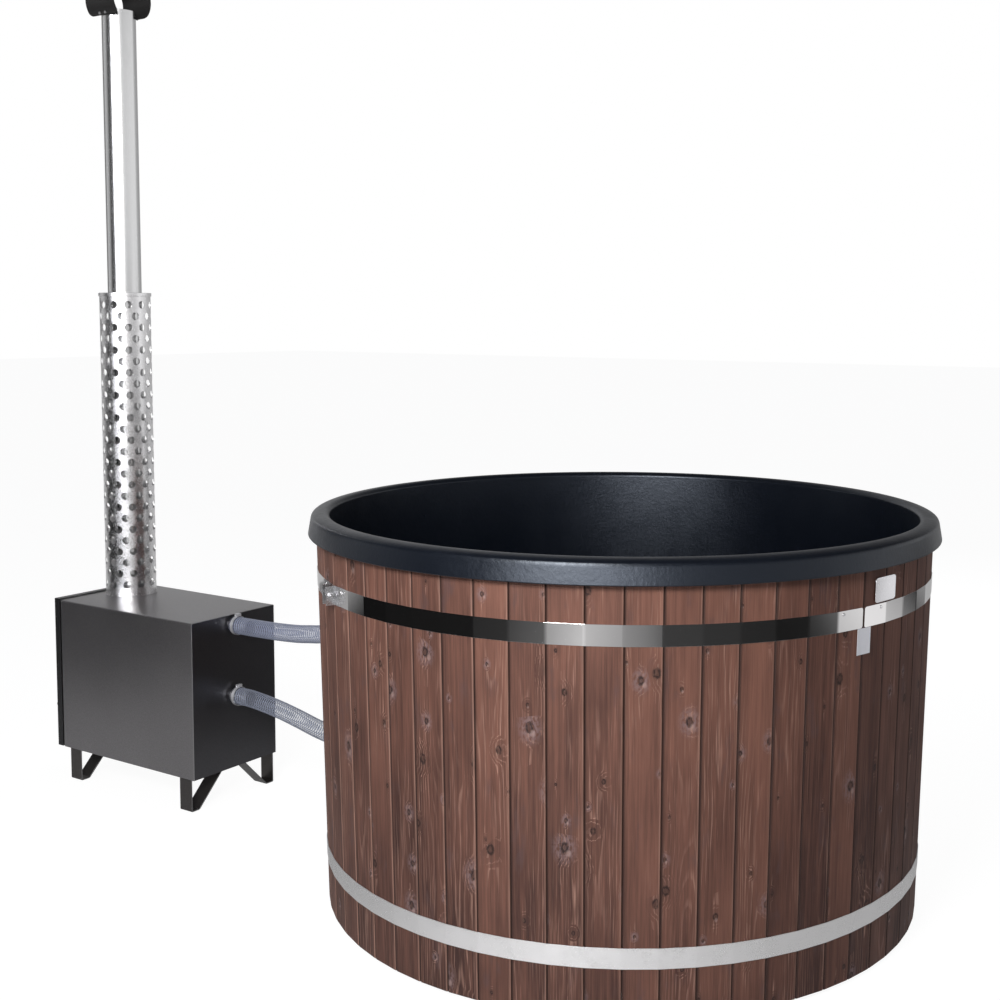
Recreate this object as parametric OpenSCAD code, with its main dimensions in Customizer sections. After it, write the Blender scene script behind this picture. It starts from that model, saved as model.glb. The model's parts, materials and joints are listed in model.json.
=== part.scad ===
// Wooden hot tub with an outside wood-fired water heater, in millimetres.
// The tub stands at the origin, its floor plane is z = 0, and the heater stands on the -X side.

/* [Staves] */
// Number of staves round the tub
stave_count = 60; // [50:1:70]
// Thickness of a stave
stave_t = 28; // [22:1:36]
// Length of a stave
stave_len = 1060; // [950:5:1200]
// Height of the staves' lower ends above the floor
stave_lift = 10; // [6:1:20]
// Distance from the tub's axis to a stave's outer face, at its lower end
tub_bottom_r = 825; // [750:5:950]
// How much wider the tub is at the staves' upper ends, on the radius
tub_flare = 26; // [10:1:40]
// Gap between neighbouring staves
stave_gap = 0.3; // [0.1:0.1:0.8]
// Bevel along each stave's outer edges
stave_bevel = 3; // [1:0.5:5]
// Bearing of one joint between staves, in degrees
stave_joint_angle = 1.35; // [0:0.05:6]

/* [Floor of the tub] */
// Number of bearers on each side of the middle one
side_bearers = 2; // [1:1:3]
// Distance between bearers
bearer_pitch = 280; // [200:5:340]
// Width of a bearer
bearer_w = 45; // [36:1:60]
// Height of a bearer
bearer_h = 60; // [56:1:70]
// Width of a floor board
board_w = 130; // [90:1:180]
// Thickness of the floor boards
deck_t = 18; // [14:1:28]
// Gap between floor boards
deck_gap = 3; // [1:0.5:8]

/* [Liner] */
// Wall thickness of the moulded liner
liner_t = 8; // [5:1:10]
// Gap between the liner's wall and the staves
liner_fit = 0.3; // [0.2:0.1:1]
// Height of the rim's crown above the stave ends
rim_rise = 14; // [8:1:24]
// Width of the rim's inner roll
rim_roll = 18; // [10:1:24]
// Length of the skirt that hangs over the staves
skirt_drop = 46; // [30:1:70]
// Gap between the staves and the skirt's upper end
skirt_gap = 5; // [3:0.5:10]
// How much further out the skirt's lower edge stands
skirt_flare = 8; // [0:1:14]
// Height of the bench above the liner's floor
bench_h = 414; // [360:5:480]
// Radius of the foot well between the benches
well_r = 470; // [400:5:560]
// Bevel along the bench's front edge
bench_nose = 6; // [2:1:8]
// Angle of the sector that has no bench
entry_angle = 56; // [40:1:80]

/* [Steel bands] */
// Width of both bands
band_w = 50; // [30:1:60]
// Thickness of both bands
band_t = 1.2; // [0.8:0.1:2]
// Gap between a band and the flat of a stave
band_fit = 0.1; // [0.05:0.05:0.4]
// Height of the upper band's middle
upper_band_z = 909; // [860:1:930]
// Height of the lower band's middle
lower_band_z = 155; // [110:1:200]
// Joint between staves at which the upper band is tightened
upper_lug_joint = -20; // [-22:1:-18]
// Joint between staves at which the upper band's two lengths meet
splice_joint = -3; // [-5:1:-1]
// Joint between staves at which the lower band is tightened
lower_lug_joint = 10; // [8:1:12]
// Gap between the band ends that the tightening bolt pulls together
lug_gap = 22; // [14:1:30]
// Gap between the band ends at the plain joint
splice_gap = 7; // [4:1:12]
// How far a tightening lug stands out
lug_out = 26; // [20:1:34]
// Thickness of a tightening lug
lug_t = 2.5; // [2:0.5:4]
// Radius of the tightening bolt
lug_bolt_r = 4; // [3:0.5:5]
// Radius of the small screws at the upper band's ends
band_screw_r = 1.8; // [1.5:0.1:2.2]
// Length of those screws
band_screw_len = 18; // [12:1:24]
// Distance of those screws from the middle of their stave
band_screw_in = 25; // [18:1:30]
// Distance of those screws below the band's upper edge
band_screw_down = 9; // [6:1:14]

/* [Plate and card] */
// Side of the square plate above the band
plate_w = 60; // [40:1:80]
// Thickness of the plate
plate_t = 1.5; // [1:0.5:3]
// Corner radius of the plate
plate_corner = 7; // [2:1:12]
// Bearing of the plate, in degrees
plate_angle = -9.9; // [-14:0.1:-6]
// Gap between the plate and the upper band
plate_gap = 4; // [2:1:12]
// Width of the card under the band joint
card_w = 36; // [24:1:50]
// Height of the card
card_h = 70; // [50:1:90]
// Thickness of the card
card_t = 0.8; // [0.5:0.1:1.5]

/* [Water fittings] */
// Number of the stave, counted from the first joint, that both fittings pass through
fitting_stave = 31; // [30:1:32]
// Height of the upper fitting
upper_fitting_z = 622; // [600:1:700]
// Height of the lower fitting
lower_fitting_z = 298; // [240:1:340]
// Outer radius of a hose tail
tail_r = 25; // [20:0.5:28]
// Wall thickness of a hose tail
tail_t = 2.5; // [2:0.5:4]
// Length of a fitting's hose tail
tail_len = 55; // [40:1:70]
// Radius of a fitting's thread
thread_r = 27; // [26:0.5:30]
// Gap round a thread in its hole
thread_fit = 0.5; // [0.2:0.1:1]
// Radius of the nut outside, over its corners
nut_r = 41; // [36:1:43]
// Thickness of that nut
nut_t = 15; // [10:1:20]
// Radius of the flange inside
flange_r = 42; // [36:1:48]
// Thickness of the flange inside
flange_t = 6; // [4:1:8]
// Thickness of the rubber gasket under the flange
gasket_t = 3; // [2:0.5:4]
// Depth of the strainer over the lower fitting
strainer_depth = 14; // [8:1:20]
// Wall thickness of the strainer
strainer_t = 2; // [1.5:0.5:3]

/* [Hoses] */
// Inner radius of a hose
hose_in_r = 25.2; // [25.2:0.1:26]
// Outer radius of a hose
hose_out_r = 30; // [29:0.5:32]
// Number of flats round a hose
hose_sides = 12; // [8:1:12]
// Width of a hose clamp
clamp_w = 12; // [8:1:16]
// Thickness of a hose clamp
clamp_t = 1; // [0.6:0.1:2]
// Gap between a clamp and the hose's ridges
clamp_fit = 0.5; // [0.5:0.1:1]
// Distance from a hose's end to its clamp
clamp_in = 8; // [4:1:16]
// Gap between a hose's end and the thread or the casing behind it
hose_stop = 4.5; // [4:0.5:10]

/* [Drain] */
// Distance from the tub's axis to the drain
drain_r = 400; // [360:5:420]
// Number of the stave that the drain pipe passes through
drain_stave = 13; // [12:1:15]
// Outer radius of the drain pipe
drain_pipe_r = 16; // [14:0.5:18]
// Wall thickness of the drain pipe
drain_pipe_t = 2; // [1.5:0.5:3]
// Height of the drain pipe's axis
drain_pipe_z = 30; // [28:1:34]
// Length of the valve body outside the tub
valve_len = 60; // [50:1:80]
// Distance from the staves to the valve body
valve_out = 30; // [20:1:50]
// Radius of the valve body
valve_r = 22; // [20:1:24]
// Radius of the valve's ball
ball_r = 17; // [15:1:18]
// Length of the spigot that a drain hose slides on
spigot_len = 26; // [20:1:40]
// Radius of the valve's stem
stem_r = 5; // [4:0.5:6]
// Length of the valve's lever
lever_len = 95; // [70:1:110]

/* [Heater casing] */
// Distance from the tub's axis to the heater's hose end
heater_x = 1414; // [1350:1:1600]
// Sideways place of the heater's middle
heater_y = -143; // [-180:1:-100]
// Height of the casing above the floor
leg_h = 107; // [80:1:140]
// Length of the casing, without the door
case_len = 658; // [600:1:720]
// Width of the casing
case_w = 366; // [340:1:420]
// Height of the casing
case_h = 518; // [490:1:600]
// Thickness of the casing's sheet
sheet_t = 2; // [1.5:0.5:3]
// Width of the steel strip of the legs
strip_w = 55; // [30:1:70]
// Thickness of the legs' strip
strip_t = 4; // [3:0.5:6]
// Length of a leg's flat foot
foot_len = 34; // [24:1:44]
// How far a leg's brace runs inwards
brace_run = 100; // [60:1:110]
// Length of the tabs that bolt the legs on
tab_len = 30; // [24:1:40]
// Distance from the hose end to the near legs
near_leg_in = 14; // [8:1:60]
// Distance from the door end to the far legs
far_leg_in = 33; // [20:1:60]

/* [Firebox] */
// Gap between the casing's hose end and the water jacket
jacket_back = 30; // [20:1:50]
// Gap between the casing's front edge and the water jacket
jacket_front = 18; // [16:1:30]
// Width of the water jacket
jacket_w = 300; // [280:1:320]
// Height of the water jacket's underside above the casing's
jacket_lift = 43; // [30:1:60]
// Gap between the water jacket's top and the casing
jacket_top_gap = 5; // [3:1:20]
// Thickness of the water jacket's plates
jacket_t = 3; // [2:0.5:5]
// Width of the firebox
fire_w = 220; // [200:1:240]
// Height of the firebox
fire_h = 350; // [300:1:380]
// Height of the firebox floor above the water jacket's underside
fire_lift = 40; // [30:1:60]
// Distance from the water jacket's back to the firebox
fire_back = 50; // [40:1:80]
// Height of the grate above the firebox floor
grate_h = 60; // [56:1:80]
// Thickness of the grate
grate_t = 12; // [8:1:20]
// Number of slots in the grate
grate_slots = 12; // [6:1:16]
// Size of the ledges that carry the grate
ledge = 12; // [8:1:16]
// Clearance of loose pieces in the firebox
fire_fit = 1.5; // [0.5:0.5:3]
// Height of the ash pan's walls
ash_h = 34; // [20:1:40]
// Length of the stub pipes outside the casing
stub_out = 75; // [60:1:90]
// Height of the upper stub pipe
upper_stub_z = 589; // [570:1:592]
// Height of the lower stub pipe
lower_stub_z = 350; // [300:1:400]

/* [Door] */
// Gap between the casing and the door
door_gap = 8; // [6:0.5:12]
// Thickness of the door
door_t = 26; // [22:1:32]
// How far the door stands above the casing
door_over = 4; // [0:1:8]
// Thickness of the front frame
frame_t = 3; // [2:0.5:5]
// Width of the rope seal
seal_w = 12; // [8:1:16]
// Radius of a hinge knuckle
knuckle_r = 6; // [5.5:0.5:8]
// Radius of a hinge pin
hinge_pin_r = 3; // [2:0.5:4]
// Running clearance of the hinge pins and shafts
run_fit = 0.05; // [0.02:0.01:0.08]
// Length of one hinge knuckle
knuckle_len = 30; // [20:1:40]
// Distance from the door's ends to its hinges
hinge_in = 70; // [50:1:120]
// Radius of the latch shaft
latch_r = 5; // [4:0.5:6]
// Distance from the door's edge to the latch
latch_in = 20; // [18:1:22]
// Length of the latch handle
latch_len = 120; // [80:1:140]
// Length of the latch finger
finger_len = 30; // [24:1:36]
// Number of air holes in the door
air_holes = 3; // [2:1:4]
// Width of an air hole
air_hole_w = 32; // [20:1:36]
// Height of an air hole
air_hole_h = 14; // [8:1:20]
// Distance between air holes
air_pitch = 70; // [60:1:80]
// Height of the air holes above the door's lower edge
air_z = 62; // [40:1:100]

/* [Chimney] */
// Distance from the casing's door end to the chimney
flue_in = 87; // [80:1:130]
// Sideways place of the chimney from the casing's middle, away from the door hinges
flue_y = -49; // [-50:1:50]
// Outer radius of the flue pipe
flue_r = 57; // [50:0.5:60]
// Wall thickness of the flue pipe
flue_t = 1; // [0.6:0.1:2]
// Clearance of the flue pipe in its collar and rings
flue_fit = 0.3; // [0.2:0.1:0.6]
// Height of the flue pipe's top
flue_top_z = 2655; // [2200:5:2900]
// Outer radius of the perforated guard
guard_r = 86; // [76:1:110]
// Wall thickness of the guard
guard_t = 1.5; // [1:0.1:2]
// Radius of the holes in the guard
guard_hole_r = 13; // [8:0.5:14]
// Number of holes in one row
guard_row_holes = 11; // [8:1:12]
// Number of rows of holes
guard_rows = 26; // [2:1:28]
// Distance between rows
guard_pitch = 39.2; // [34:0.2:44]
// Plain length of the guard below and above the holes
guard_plain = 20; // [12:1:40]
// How far the guard's end rings stand out
ring_out = 3; // [2:0.5:6]
// Height of the upper ring's lip
ring_lip = 10; // [6:1:16]
// Outer radius of the bent rain cap
cap_r = 80; // [74:1:100]
// Width of the rain cap
cap_w = 145; // [110:1:180]
// Thickness of the rain cap
cap_t = 1.5; // [1:0.1:2]
// Height of the rain cap's centre above the flue pipe's top
cap_lift = 35; // [30:1:45]
// Radius of the rain cap's screws
cap_screw_r = 2.5; // [2:0.5:3]

/* [Hidden] */
$fn = 64;
eps = 0.01;
through = 40;

wood_color = "#5b362b";
liner_color = "#242c39";
steel_color = "#c6c8ca";
black_color = "#2b2b2d";
timber_color = "#a98557";

// ---- The tub's tapered wall ----
stave_angle = 360 / stave_count;
stave_top = stave_lift + stave_len;
wall_slope = atan(tub_flare / stave_len);
function wood_r(z) = tub_bottom_r + tub_flare * (z - stave_lift) / stave_len;
function inner_r(z) = wood_r(z) - stave_t;
function edge_w(z) = wood_r(z) * tan(stave_angle / 2) - stave_gap / 2 - stave_bevel;
function ridge_r(z) = norm([wood_r(z), edge_w(z)]);
function liner_out(z) = inner_r(z) - liner_fit;
function liner_in(z) = liner_out(z) - liner_t;
function joint_angle(k) = stave_joint_angle + k * stave_angle;
function stave_middle(k) = joint_angle(k + 0.5);

// ---- The liner ----
deck_z = bearer_h + deck_t;
well_z = deck_z + liner_t;
bench_z = well_z + bench_h;
rim_fit = 0.3;
seat_z = stave_top + rim_fit;
skirt_in = ridge_r(stave_top) + skirt_gap;
skirt_out = skirt_in + liner_t;
skirt_z = seat_z - skirt_drop;
crown_r = liner_in(seat_z) + rim_roll;
rim_steps = 6;
entry_step = 1;

// ---- The fittings ----
fitting_angle = stave_middle(fitting_stave);
drain_angle = stave_middle(drain_stave);
nut_gap = 0.2;
tail_root = nut_gap + nut_t + 4;
drain_bend = bearer_h - drain_pipe_z;
drain_wall_r = wood_r(drain_pipe_z);
valve_x = drain_wall_r + valve_out;
ball_fit = 0.3;
lever_z = drain_pipe_z + valve_r + 8;
lever_t = 4;
// Depth of the liner's inner face from a stave's outer flat, at height z.
function liner_depth(z) = stave_t + liner_fit + liner_t + (z < bench_z ? entry_step : 0);

// ---- The hoses: their middle lines, from the heater to the tub, points chosen by hand ----
upper_route = [
  [-1410, -143, 589], [-1376, -143, 589], [-1342, -143, 589], [-1290, -145, 590], [-1265, -147, 591],
  [-1240, -149, 592], [-1190, -154, 595], [-1165, -157, 597], [-1140, -160, 599], [-1090, -166, 604],
  [-1040, -170, 611], [-1015, -172, 614], [-990, -173, 618], [-945, -171, 622], [-898, -164, 620],
  [-850, -155, 621]
];
lower_route = [
  [-1410, -143, 350], [-1376, -143, 350], [-1342, -143, 350], [-1290, -145, 346], [-1265, -147, 344],
  [-1240, -149, 342], [-1190, -154, 337], [-1165, -157, 334], [-1140, -160, 331], [-1090, -166, 324],
  [-1040, -170, 315], [-1015, -172, 311], [-990, -173, 307], [-945, -171, 300], [-890, -163, 296],
  [-842, -154, 297]
];

// ---- The heater, measured from its hose end towards its door ----
case_top = leg_h + case_h;
jacket_z0 = leg_h + jacket_lift;
jacket_z1 = case_top - sheet_t - jacket_top_gap;
flue_x = case_len - flue_in;
jacket_len = case_len - jacket_back - jacket_front;
fire_x = jacket_back + fire_back;
fire_z = jacket_z0 + fire_lift;
fire_len = case_len - jacket_front - fire_x;
grate_z = fire_z + grate_h;
collar_in = flue_r + flue_fit;
collar_out = collar_in + 2.5;
collar_fit = 0.2;
frame_x = case_len - frame_t;
door_x = case_len + door_gap;
door_z0 = leg_h;
door_h = case_h + door_over;
liner_plate_t = 3;
liner_plate_x = door_x + 3;
seal_fit = 0.4;
mouth_margin = 4;
hinge_x = case_len + door_gap / 2;
hinge_y = -case_w / 2 - knuckle_r - 1;
leaf_t = 2.5;
leaf_gap = 0.1;
leaf_len = 34;
knuckle_gap = 0.5;
hinge_zs = [door_z0 + hinge_in, door_z0 + door_h - hinge_in];
latch_y = case_w / 2 - latch_in;
latch_z = door_z0 + door_h / 2;
finger_w = 12;
finger_t = 4;
finger_x = frame_x - 2 - finger_t;
slide_t = 2;
slide_w = air_pitch * (air_holes - 1) + air_hole_w + 16;
slide_h = air_hole_h + 16;
slide_travel = air_pitch / 2;
rail_w = 8;
slide_fit = 0.3;
door_face = door_x + door_t;
bolt_r = 4;
tab_bolt_r = 3;

// ---- The chimney ----
guard_z = case_top + 3;
guard_len = 2 * guard_plain + guard_rows * guard_pitch;
guard_top = guard_z + guard_len;
cap_z = flue_top_z + cap_lift;
cap_end = acos((flue_r + flue_fit) / (cap_r - cap_t));
cap_screw_turn = cap_end - 5;
cap_screw_z = cap_z - (cap_r - cap_t / 2) * sin(cap_screw_turn);
cap_screw_x = 14;

// ---- Helpers ----

// Places its children on a stave: x out of the wall, z up along it, at height z on the outer flat.
module on_stave(angle, z, out = 0)
  rotate([0, 0, angle]) translate([wood_r(z), 0, z]) rotate([0, wall_slope, 0])
    translate([out, 0, 0]) children();

// Turns a cylinder along +Z to lie along +X.
module along_x(x = 0) translate([x, 0, 0]) rotate([0, 90, 0]) children();

// Places its children at the heater: x runs from the hose end towards the door.
module at_heater() translate([-heater_x, heater_y, 0]) rotate([0, 0, 180]) children();

// A straight tube along +Z.
module tube(r, wall, h) difference() {
  cylinder(r = r, h = h);
  translate([0, 0, -1]) cylinder(r = r - wall, h = h + 2);
}

// A box given by its low corner and its high corner.
module box(low, high) translate(low) cube(high - low);

// A cheese-headed screw along +X, its head's underside at x = 0.
module screw_x(r, shank, head_r, head_h) {
  along_x(-shank) cylinder(r = r, h = shank + eps, $fn = 24);
  along_x() cylinder(r = head_r, h = head_h, $fn = 24);
}

// ---- Staves ----

function stave_ring(z) = let (
    o = wood_r(z), i = inner_r(z), m = o - stave_bevel, t = tan(stave_angle / 2), g = stave_gap / 2
  ) [
    [i, i * t - g, z], [m, m * t - g, z], [o, o * t - g - stave_bevel, z],
    [o, g + stave_bevel - o * t, z], [m, g - m * t, z], [i, g - i * t, z]
  ];

module stave()
  polyhedron(
    points = concat(stave_ring(stave_lift), stave_ring(stave_top)),
    faces = concat(
      [[0, 1, 2, 3, 4, 5], [11, 10, 9, 8, 7, 6]],
      [for (i = [0 : 5]) let (j = (i + 1) % 6) [i, i + 6, j + 6, j]]
    )
  );

// One sixth of the staves, without the one that the hoses reach.
module stave_group(g) {
  first = round(g * stave_count / 6);
  last = round((g + 1) * stave_count / 6) - 1;
  color(wood_color) difference() {
    for (k = [first : last]) if (k != fitting_stave) rotate([0, 0, stave_middle(k)]) stave();
    if (first <= drain_stave && drain_stave <= last) drain_hole();
  }
}

// The stave that both wall fittings pass through.
module hose_stave() color(wood_color) difference() {
  rotate([0, 0, fitting_angle]) stave();
  fitting_holes();
}

module fitting_holes()
  for (z = [upper_fitting_z, lower_fitting_z])
    on_stave(fitting_angle, z) along_x(-stave_t - through)
      cylinder(r = thread_r + thread_fit, h = stave_t + 2 * through);

module drain_hole()
  rotate([0, 0, drain_angle]) translate([drain_wall_r, 0, drain_pipe_z])
    along_x(-stave_t - through) cylinder(r = drain_pipe_r + thread_fit, h = stave_t + 2 * through);

module staves_1() stave_group(0);
module staves_2() stave_group(1);
module staves_3() stave_group(2);
module staves_4() stave_group(3);
module staves_5() stave_group(4);
module staves_6() stave_group(5);

// ---- Floor of the tub ----

module base_bearers() {
  r = inner_r(stave_lift) - liner_fit;
  color(timber_color) intersection() {
    for (i = [-side_bearers : side_bearers])
      translate([i * bearer_pitch - bearer_w / 2, -r, 0]) cube([bearer_w, 2 * r, bearer_h]);
    cylinder(r = r, h = bearer_h, $fn = 180);
  }
}

// The boards are laid out from the one whose middle the drain passes through.
board_pitch = board_w + deck_gap;
deck_r = inner_r(bearer_h) - liner_fit;
drain_y = drain_r * sin(drain_angle);

module boards(numbers) intersection() {
  for (i = numbers)
    translate([-deck_r, drain_y + i * board_pitch - board_w / 2, bearer_h])
      cube([2 * deck_r, board_w, deck_t]);
  translate([0, 0, bearer_h]) cylinder(r = deck_r, h = deck_t, $fn = 180);
}

module floor_boards() color(timber_color) {
  boards([ceil(-(deck_r + drain_y) / board_pitch - 0.5) : -1]);
  boards([1 : floor((deck_r - drain_y) / board_pitch + 0.5)]);
}

module drain_board() color(timber_color) difference() {
  boards([0]);
  at_drain() translate([0, 0, bearer_h - 1]) cylinder(r = thread_r + thread_fit, h = deck_t + 2);
}

// ---- Liner ----

// A quarter of an ellipse about (r, seat_z), from one angle to another.
function roll(r, w, from, to) =
  [for (i = [0 : rim_steps]) let (a = from + (to - from) * i / rim_steps)
    [r + w * cos(a), seat_z + rim_rise * sin(a)]];

// The wall, rim, bench, riser and floor are one turned section; the entry sector is then opened.
module liner_shell() {
  under_z = bench_z - liner_t;
  color(liner_color) difference() {
    union() {
      rotate_extrude($fn = 180) polygon(concat(
        [[0, deck_z], [well_r + liner_t, deck_z], [well_r + liner_t, under_z],
         [liner_out(under_z), under_z], [liner_out(seat_z), seat_z],
         [skirt_in, seat_z], [skirt_in + skirt_flare, skirt_z], [skirt_out + skirt_flare, skirt_z]],
        roll(crown_r, skirt_out - crown_r, 0, 90),
        [for (p = roll(crown_r, rim_roll, 90, 180)) if (p[0] < crown_r - eps) p],
        [[liner_in(bench_z), bench_z], [well_r + bench_nose, bench_z],
         [well_r, bench_z - bench_nose], [well_r, well_z], [0, well_z]]
      ));
      entry_wedge(entry_angle + 2 * atan(liner_t / well_r), well_r + liner_t / 2,
        deck_z + entry_step, bench_z - liner_t / 2, entry_step);
    }
    entry_wedge(entry_angle, well_r - liner_t, well_z + entry_step, bench_z + 1, entry_step + liner_t);
    fitting_holes();
    at_drain() translate([0, 0, deck_z - 1]) cylinder(r = thread_r + thread_fit, h = liner_t + 2);
  }
}

// The sector without a bench, from radius low_r out to the liner's outside less a depth.
module entry_wedge(angle, low_r, z0, z1, depth)
  rotate([0, 0, fitting_angle - angle / 2]) rotate_extrude(angle = angle, $fn = 180) polygon([
    [low_r, z0], [liner_out(z0) - depth, z0], [liner_out(z1) - depth, z1], [low_r, z1]
  ]);

// ---- Steel bands ----

// A band's cross-section at a bearing, on the flats of the staves.
function band_ring(a, mid) = let (
    turn = (a - stave_joint_angle) % stave_angle,
    off = (turn < 0 ? turn + stave_angle : turn) - stave_angle / 2,
    low = mid - band_w / 2, high = mid + band_w / 2
  ) [for (p = [[0, low], [band_t, low], [band_t, high], [0, high]])
      let (r = (wood_r(p[1]) + band_fit + p[0]) / cos(off)) [r * cos(a), r * sin(a), p[1]]];

// One length of band, from joint k0 to joint k1, shortened at its ends by half a gap each.
module band_length(k0, k1, gap0, gap1, mid) {
  r = wood_r(mid);
  bearings = concat(
    [joint_angle(k0) + asin(gap0 / 2 / r)],
    [for (k = [k0 + 1 : k1 - 1]) joint_angle(k)],
    [joint_angle(k1) - asin(gap1 / 2 / r)]
  );
  n = len(bearings);
  polyhedron(
    points = [for (a = bearings, p = band_ring(a, mid)) p],
    faces = concat(
      [[0, 1, 2, 3], [for (i = [3 : -1 : 0]) 4 * (n - 1) + i]],
      [for (s = [0 : n - 2], i = [0 : 3]) let (j = (i + 1) % 4)
        [4 * s + i, 4 * s + 4 + i, 4 * s + 4 + j, 4 * s + j]]
    )
  );
}

module upper_band_front() color(steel_color)
  band_length(upper_lug_joint, splice_joint, lug_gap, splice_gap, upper_band_z);

module upper_band_back() color(steel_color)
  band_length(splice_joint, upper_lug_joint + stave_count, splice_gap, lug_gap, upper_band_z);

module lower_band() color(steel_color)
  band_length(lower_lug_joint, lower_lug_joint + stave_count, lug_gap, lug_gap, lower_band_z);

band_skin = band_fit + band_t + 0.1;
function lug_edge(mid) = wood_r(mid) * tan(stave_angle / 2);
function lug_bolt_x(mid) = (wood_r(mid) + band_skin + lug_out / 2) * cos(stave_angle / 2)
  + (lug_edge(mid) - (lug_gap + lug_t) / 2) * sin(stave_angle / 2);

// A lug is an angle: one leg lies on the band, the other stands out and takes the bolt.
module lug(mid) difference() {
  leg = 30;
  union() {
    translate([0, lug_gap / 2 - lug_edge(mid), -band_w / 2]) cube([lug_out, lug_t, band_w]);
    translate([0, lug_gap / 2 - lug_edge(mid), -band_w / 2]) cube([lug_t, leg, band_w]);
  }
  translate([lug_out / 2, lug_gap / 2 - lug_edge(mid) - 1, 0]) rotate([-90, 0, 0])
    cylinder(r = lug_bolt_r + thread_fit, h = lug_t + 2);
}

module lug_pair(k, mid) for (side = [0, 1])
  on_stave(stave_middle(k - side), mid, band_skin) mirror([0, side, 0]) lug(mid);

module band_lugs() color(steel_color) {
  lug_pair(upper_lug_joint, upper_band_z);
  lug_pair(lower_lug_joint, lower_band_z);
}

// The bolt lies across the joint; its head and its nut press on the two lugs.
module lug_bolt(k, mid) {
  reach = lug_gap / 2 + lug_t + 1.2;
  head_h = 6;
  head_r = 1.7 * lug_bolt_r;
  rotate([0, 0, joint_angle(k)]) translate([lug_bolt_x(mid), 0, mid]) rotate([90, 0, 0]) {
    translate([0, 0, -reach - 2 * head_h]) cylinder(r = lug_bolt_r, h = 2 * reach + 2.5 * head_h, $fn = 32);
    translate([0, 0, reach]) cylinder(r = head_r, h = head_h, $fn = 6);
    translate([0, 0, -reach - head_h]) cylinder(r = head_r, h = head_h, $fn = 6);
  }
}

module band_bolts() color(steel_color) {
  lug_bolt(upper_lug_joint, upper_band_z);
  lug_bolt(lower_lug_joint, lower_band_z);
}

// One small screw through each end of the upper band, into the stave behind it.
module band_screw(k, side) on_stave(stave_middle(k), upper_band_z + band_w / 2 - band_screw_down, band_skin)
  translate([0, side * band_screw_in, 0]) screw_x(band_screw_r, band_screw_len, 2 * band_screw_r, 1.4);

module band_screws() color(steel_color) {
  band_screw(upper_lug_joint, 1);
  band_screw(upper_lug_joint - 1, -1);
  band_screw(splice_joint, 1);
  band_screw(splice_joint - 1, -1);
}

// ---- Plate and card ----

module square_plate(w, corner, t) linear_extrude(height = t) {
  square([w, w - 2 * corner], center = true);
  square([w - 2 * corner, w], center = true);
  for (x = [-1, 1], y = [-1, 1])
    translate([x * (w / 2 - corner), y * (w / 2 - corner)]) circle(r = corner);
}

module blank_plate() {
  z = upper_band_z + band_w / 2 + plate_gap + plate_w / 2;
  color(steel_color) rotate([0, 0, plate_angle])
    translate([ridge_r(z) + 0.3, 0, z]) rotate([0, wall_slope, 0])
      rotate([0, 90, 0]) square_plate(plate_w, plate_corner, plate_t);
}

module blank_card() {
  z = upper_band_z - band_w / 2 - 2 - card_h / 2;
  color("white") rotate([0, 0, joint_angle(splice_joint)])
    translate([ridge_r(z) + 0.2, 0, z]) rotate([0, wall_slope, 0])
      translate([0, -card_w / 2, -card_h / 2]) cube([card_t, card_w, card_h]);
}

// ---- Wall fittings ----

// The bore runs from the hose tail's end to the flange.
module wall_fitting(z) {
  inside = liner_depth(z) + gasket_t;
  bore = tail_r - tail_t;
  color(black_color) on_stave(fitting_angle, z) difference() {
    union() {
      along_x(-inside - flange_t) cylinder(r = flange_r, h = flange_t);
      along_x(-inside - 1) cylinder(r = thread_r, h = inside + 1 + tail_root);
      along_x(tail_root - 1) cylinder(r = tail_r, h = tail_len + 1);
    }
    along_x(-inside - flange_t - 1) cylinder(r = bore, h = inside + flange_t + tail_root + tail_len + 2);
  }
}

module upper_wall_fitting() wall_fitting(upper_fitting_z);
module lower_wall_fitting() wall_fitting(lower_fitting_z);

module wall_nuts() color(black_color)
  for (z = [upper_fitting_z, lower_fitting_z]) on_stave(fitting_angle, z) along_x(nut_gap) difference() {
    cylinder(r = nut_r, h = nut_t, $fn = 6);
    translate([0, 0, -1]) cylinder(r = thread_r + 0.1, h = nut_t + 2);
  }

// Each gasket fills the space between its flat flange and the liner's round wall.
module wall_gasket(z) intersection() {
  inset = -liner_depth(z) - 0.1;
  on_stave(fitting_angle, z) along_x(-liner_depth(z) - gasket_t + 0.1) difference() {
    cylinder(r = flange_r - 1, h = gasket_t + 2);
    translate([0, 0, -1]) cylinder(r = thread_r + 0.2, h = gasket_t + 4);
  }
  cylinder(r1 = wood_r(0) + inset, r2 = wood_r(stave_top) + inset, h = stave_top, $fn = 720);
}

module wall_gaskets() color(black_color) {
  wall_gasket(upper_fitting_z);
  wall_gasket(lower_fitting_z);
}

module suction_strainer() {
  inside = liner_depth(lower_fitting_z) + gasket_t + flange_t + 0.2;
  r = flange_r - 4;
  color(black_color) on_stave(fitting_angle, lower_fitting_z) rotate([0, -90, 0]) translate([0, 0, inside])
    difference() {
      cylinder(r = r, h = strainer_depth);
      translate([0, 0, -1]) cylinder(r = r - strainer_t, h = strainer_depth - strainer_t + 1);
      for (ring = [[0, 1], [12, 6], [25, 12]], i = [0 : ring[1] - 1])
        rotate([0, 0, i * 360 / ring[1]]) translate([ring[0], 0, 1])
          cylinder(r = 3, h = strainer_depth, $fn = 24);
    }
}

// ---- Hoses ----

function unit(v) = v / norm(v);
function heading(route, i) =
  unit(route[min(i + 1, len(route) - 1)] - route[max(i - 1, 0)]);

// The points of one ring of the given radius, square to the route.
function ring_points(route, i, r) = let (
    t = heading(route, i), side = unit(cross([0, 0, 1], t)), up = cross(t, side)
  ) [for (s = [0 : hose_sides - 1]) let (a = (s + 0.5) * 360 / hose_sides)
      route[i] + r * (cos(a) * side + sin(a) * up)];

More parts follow.
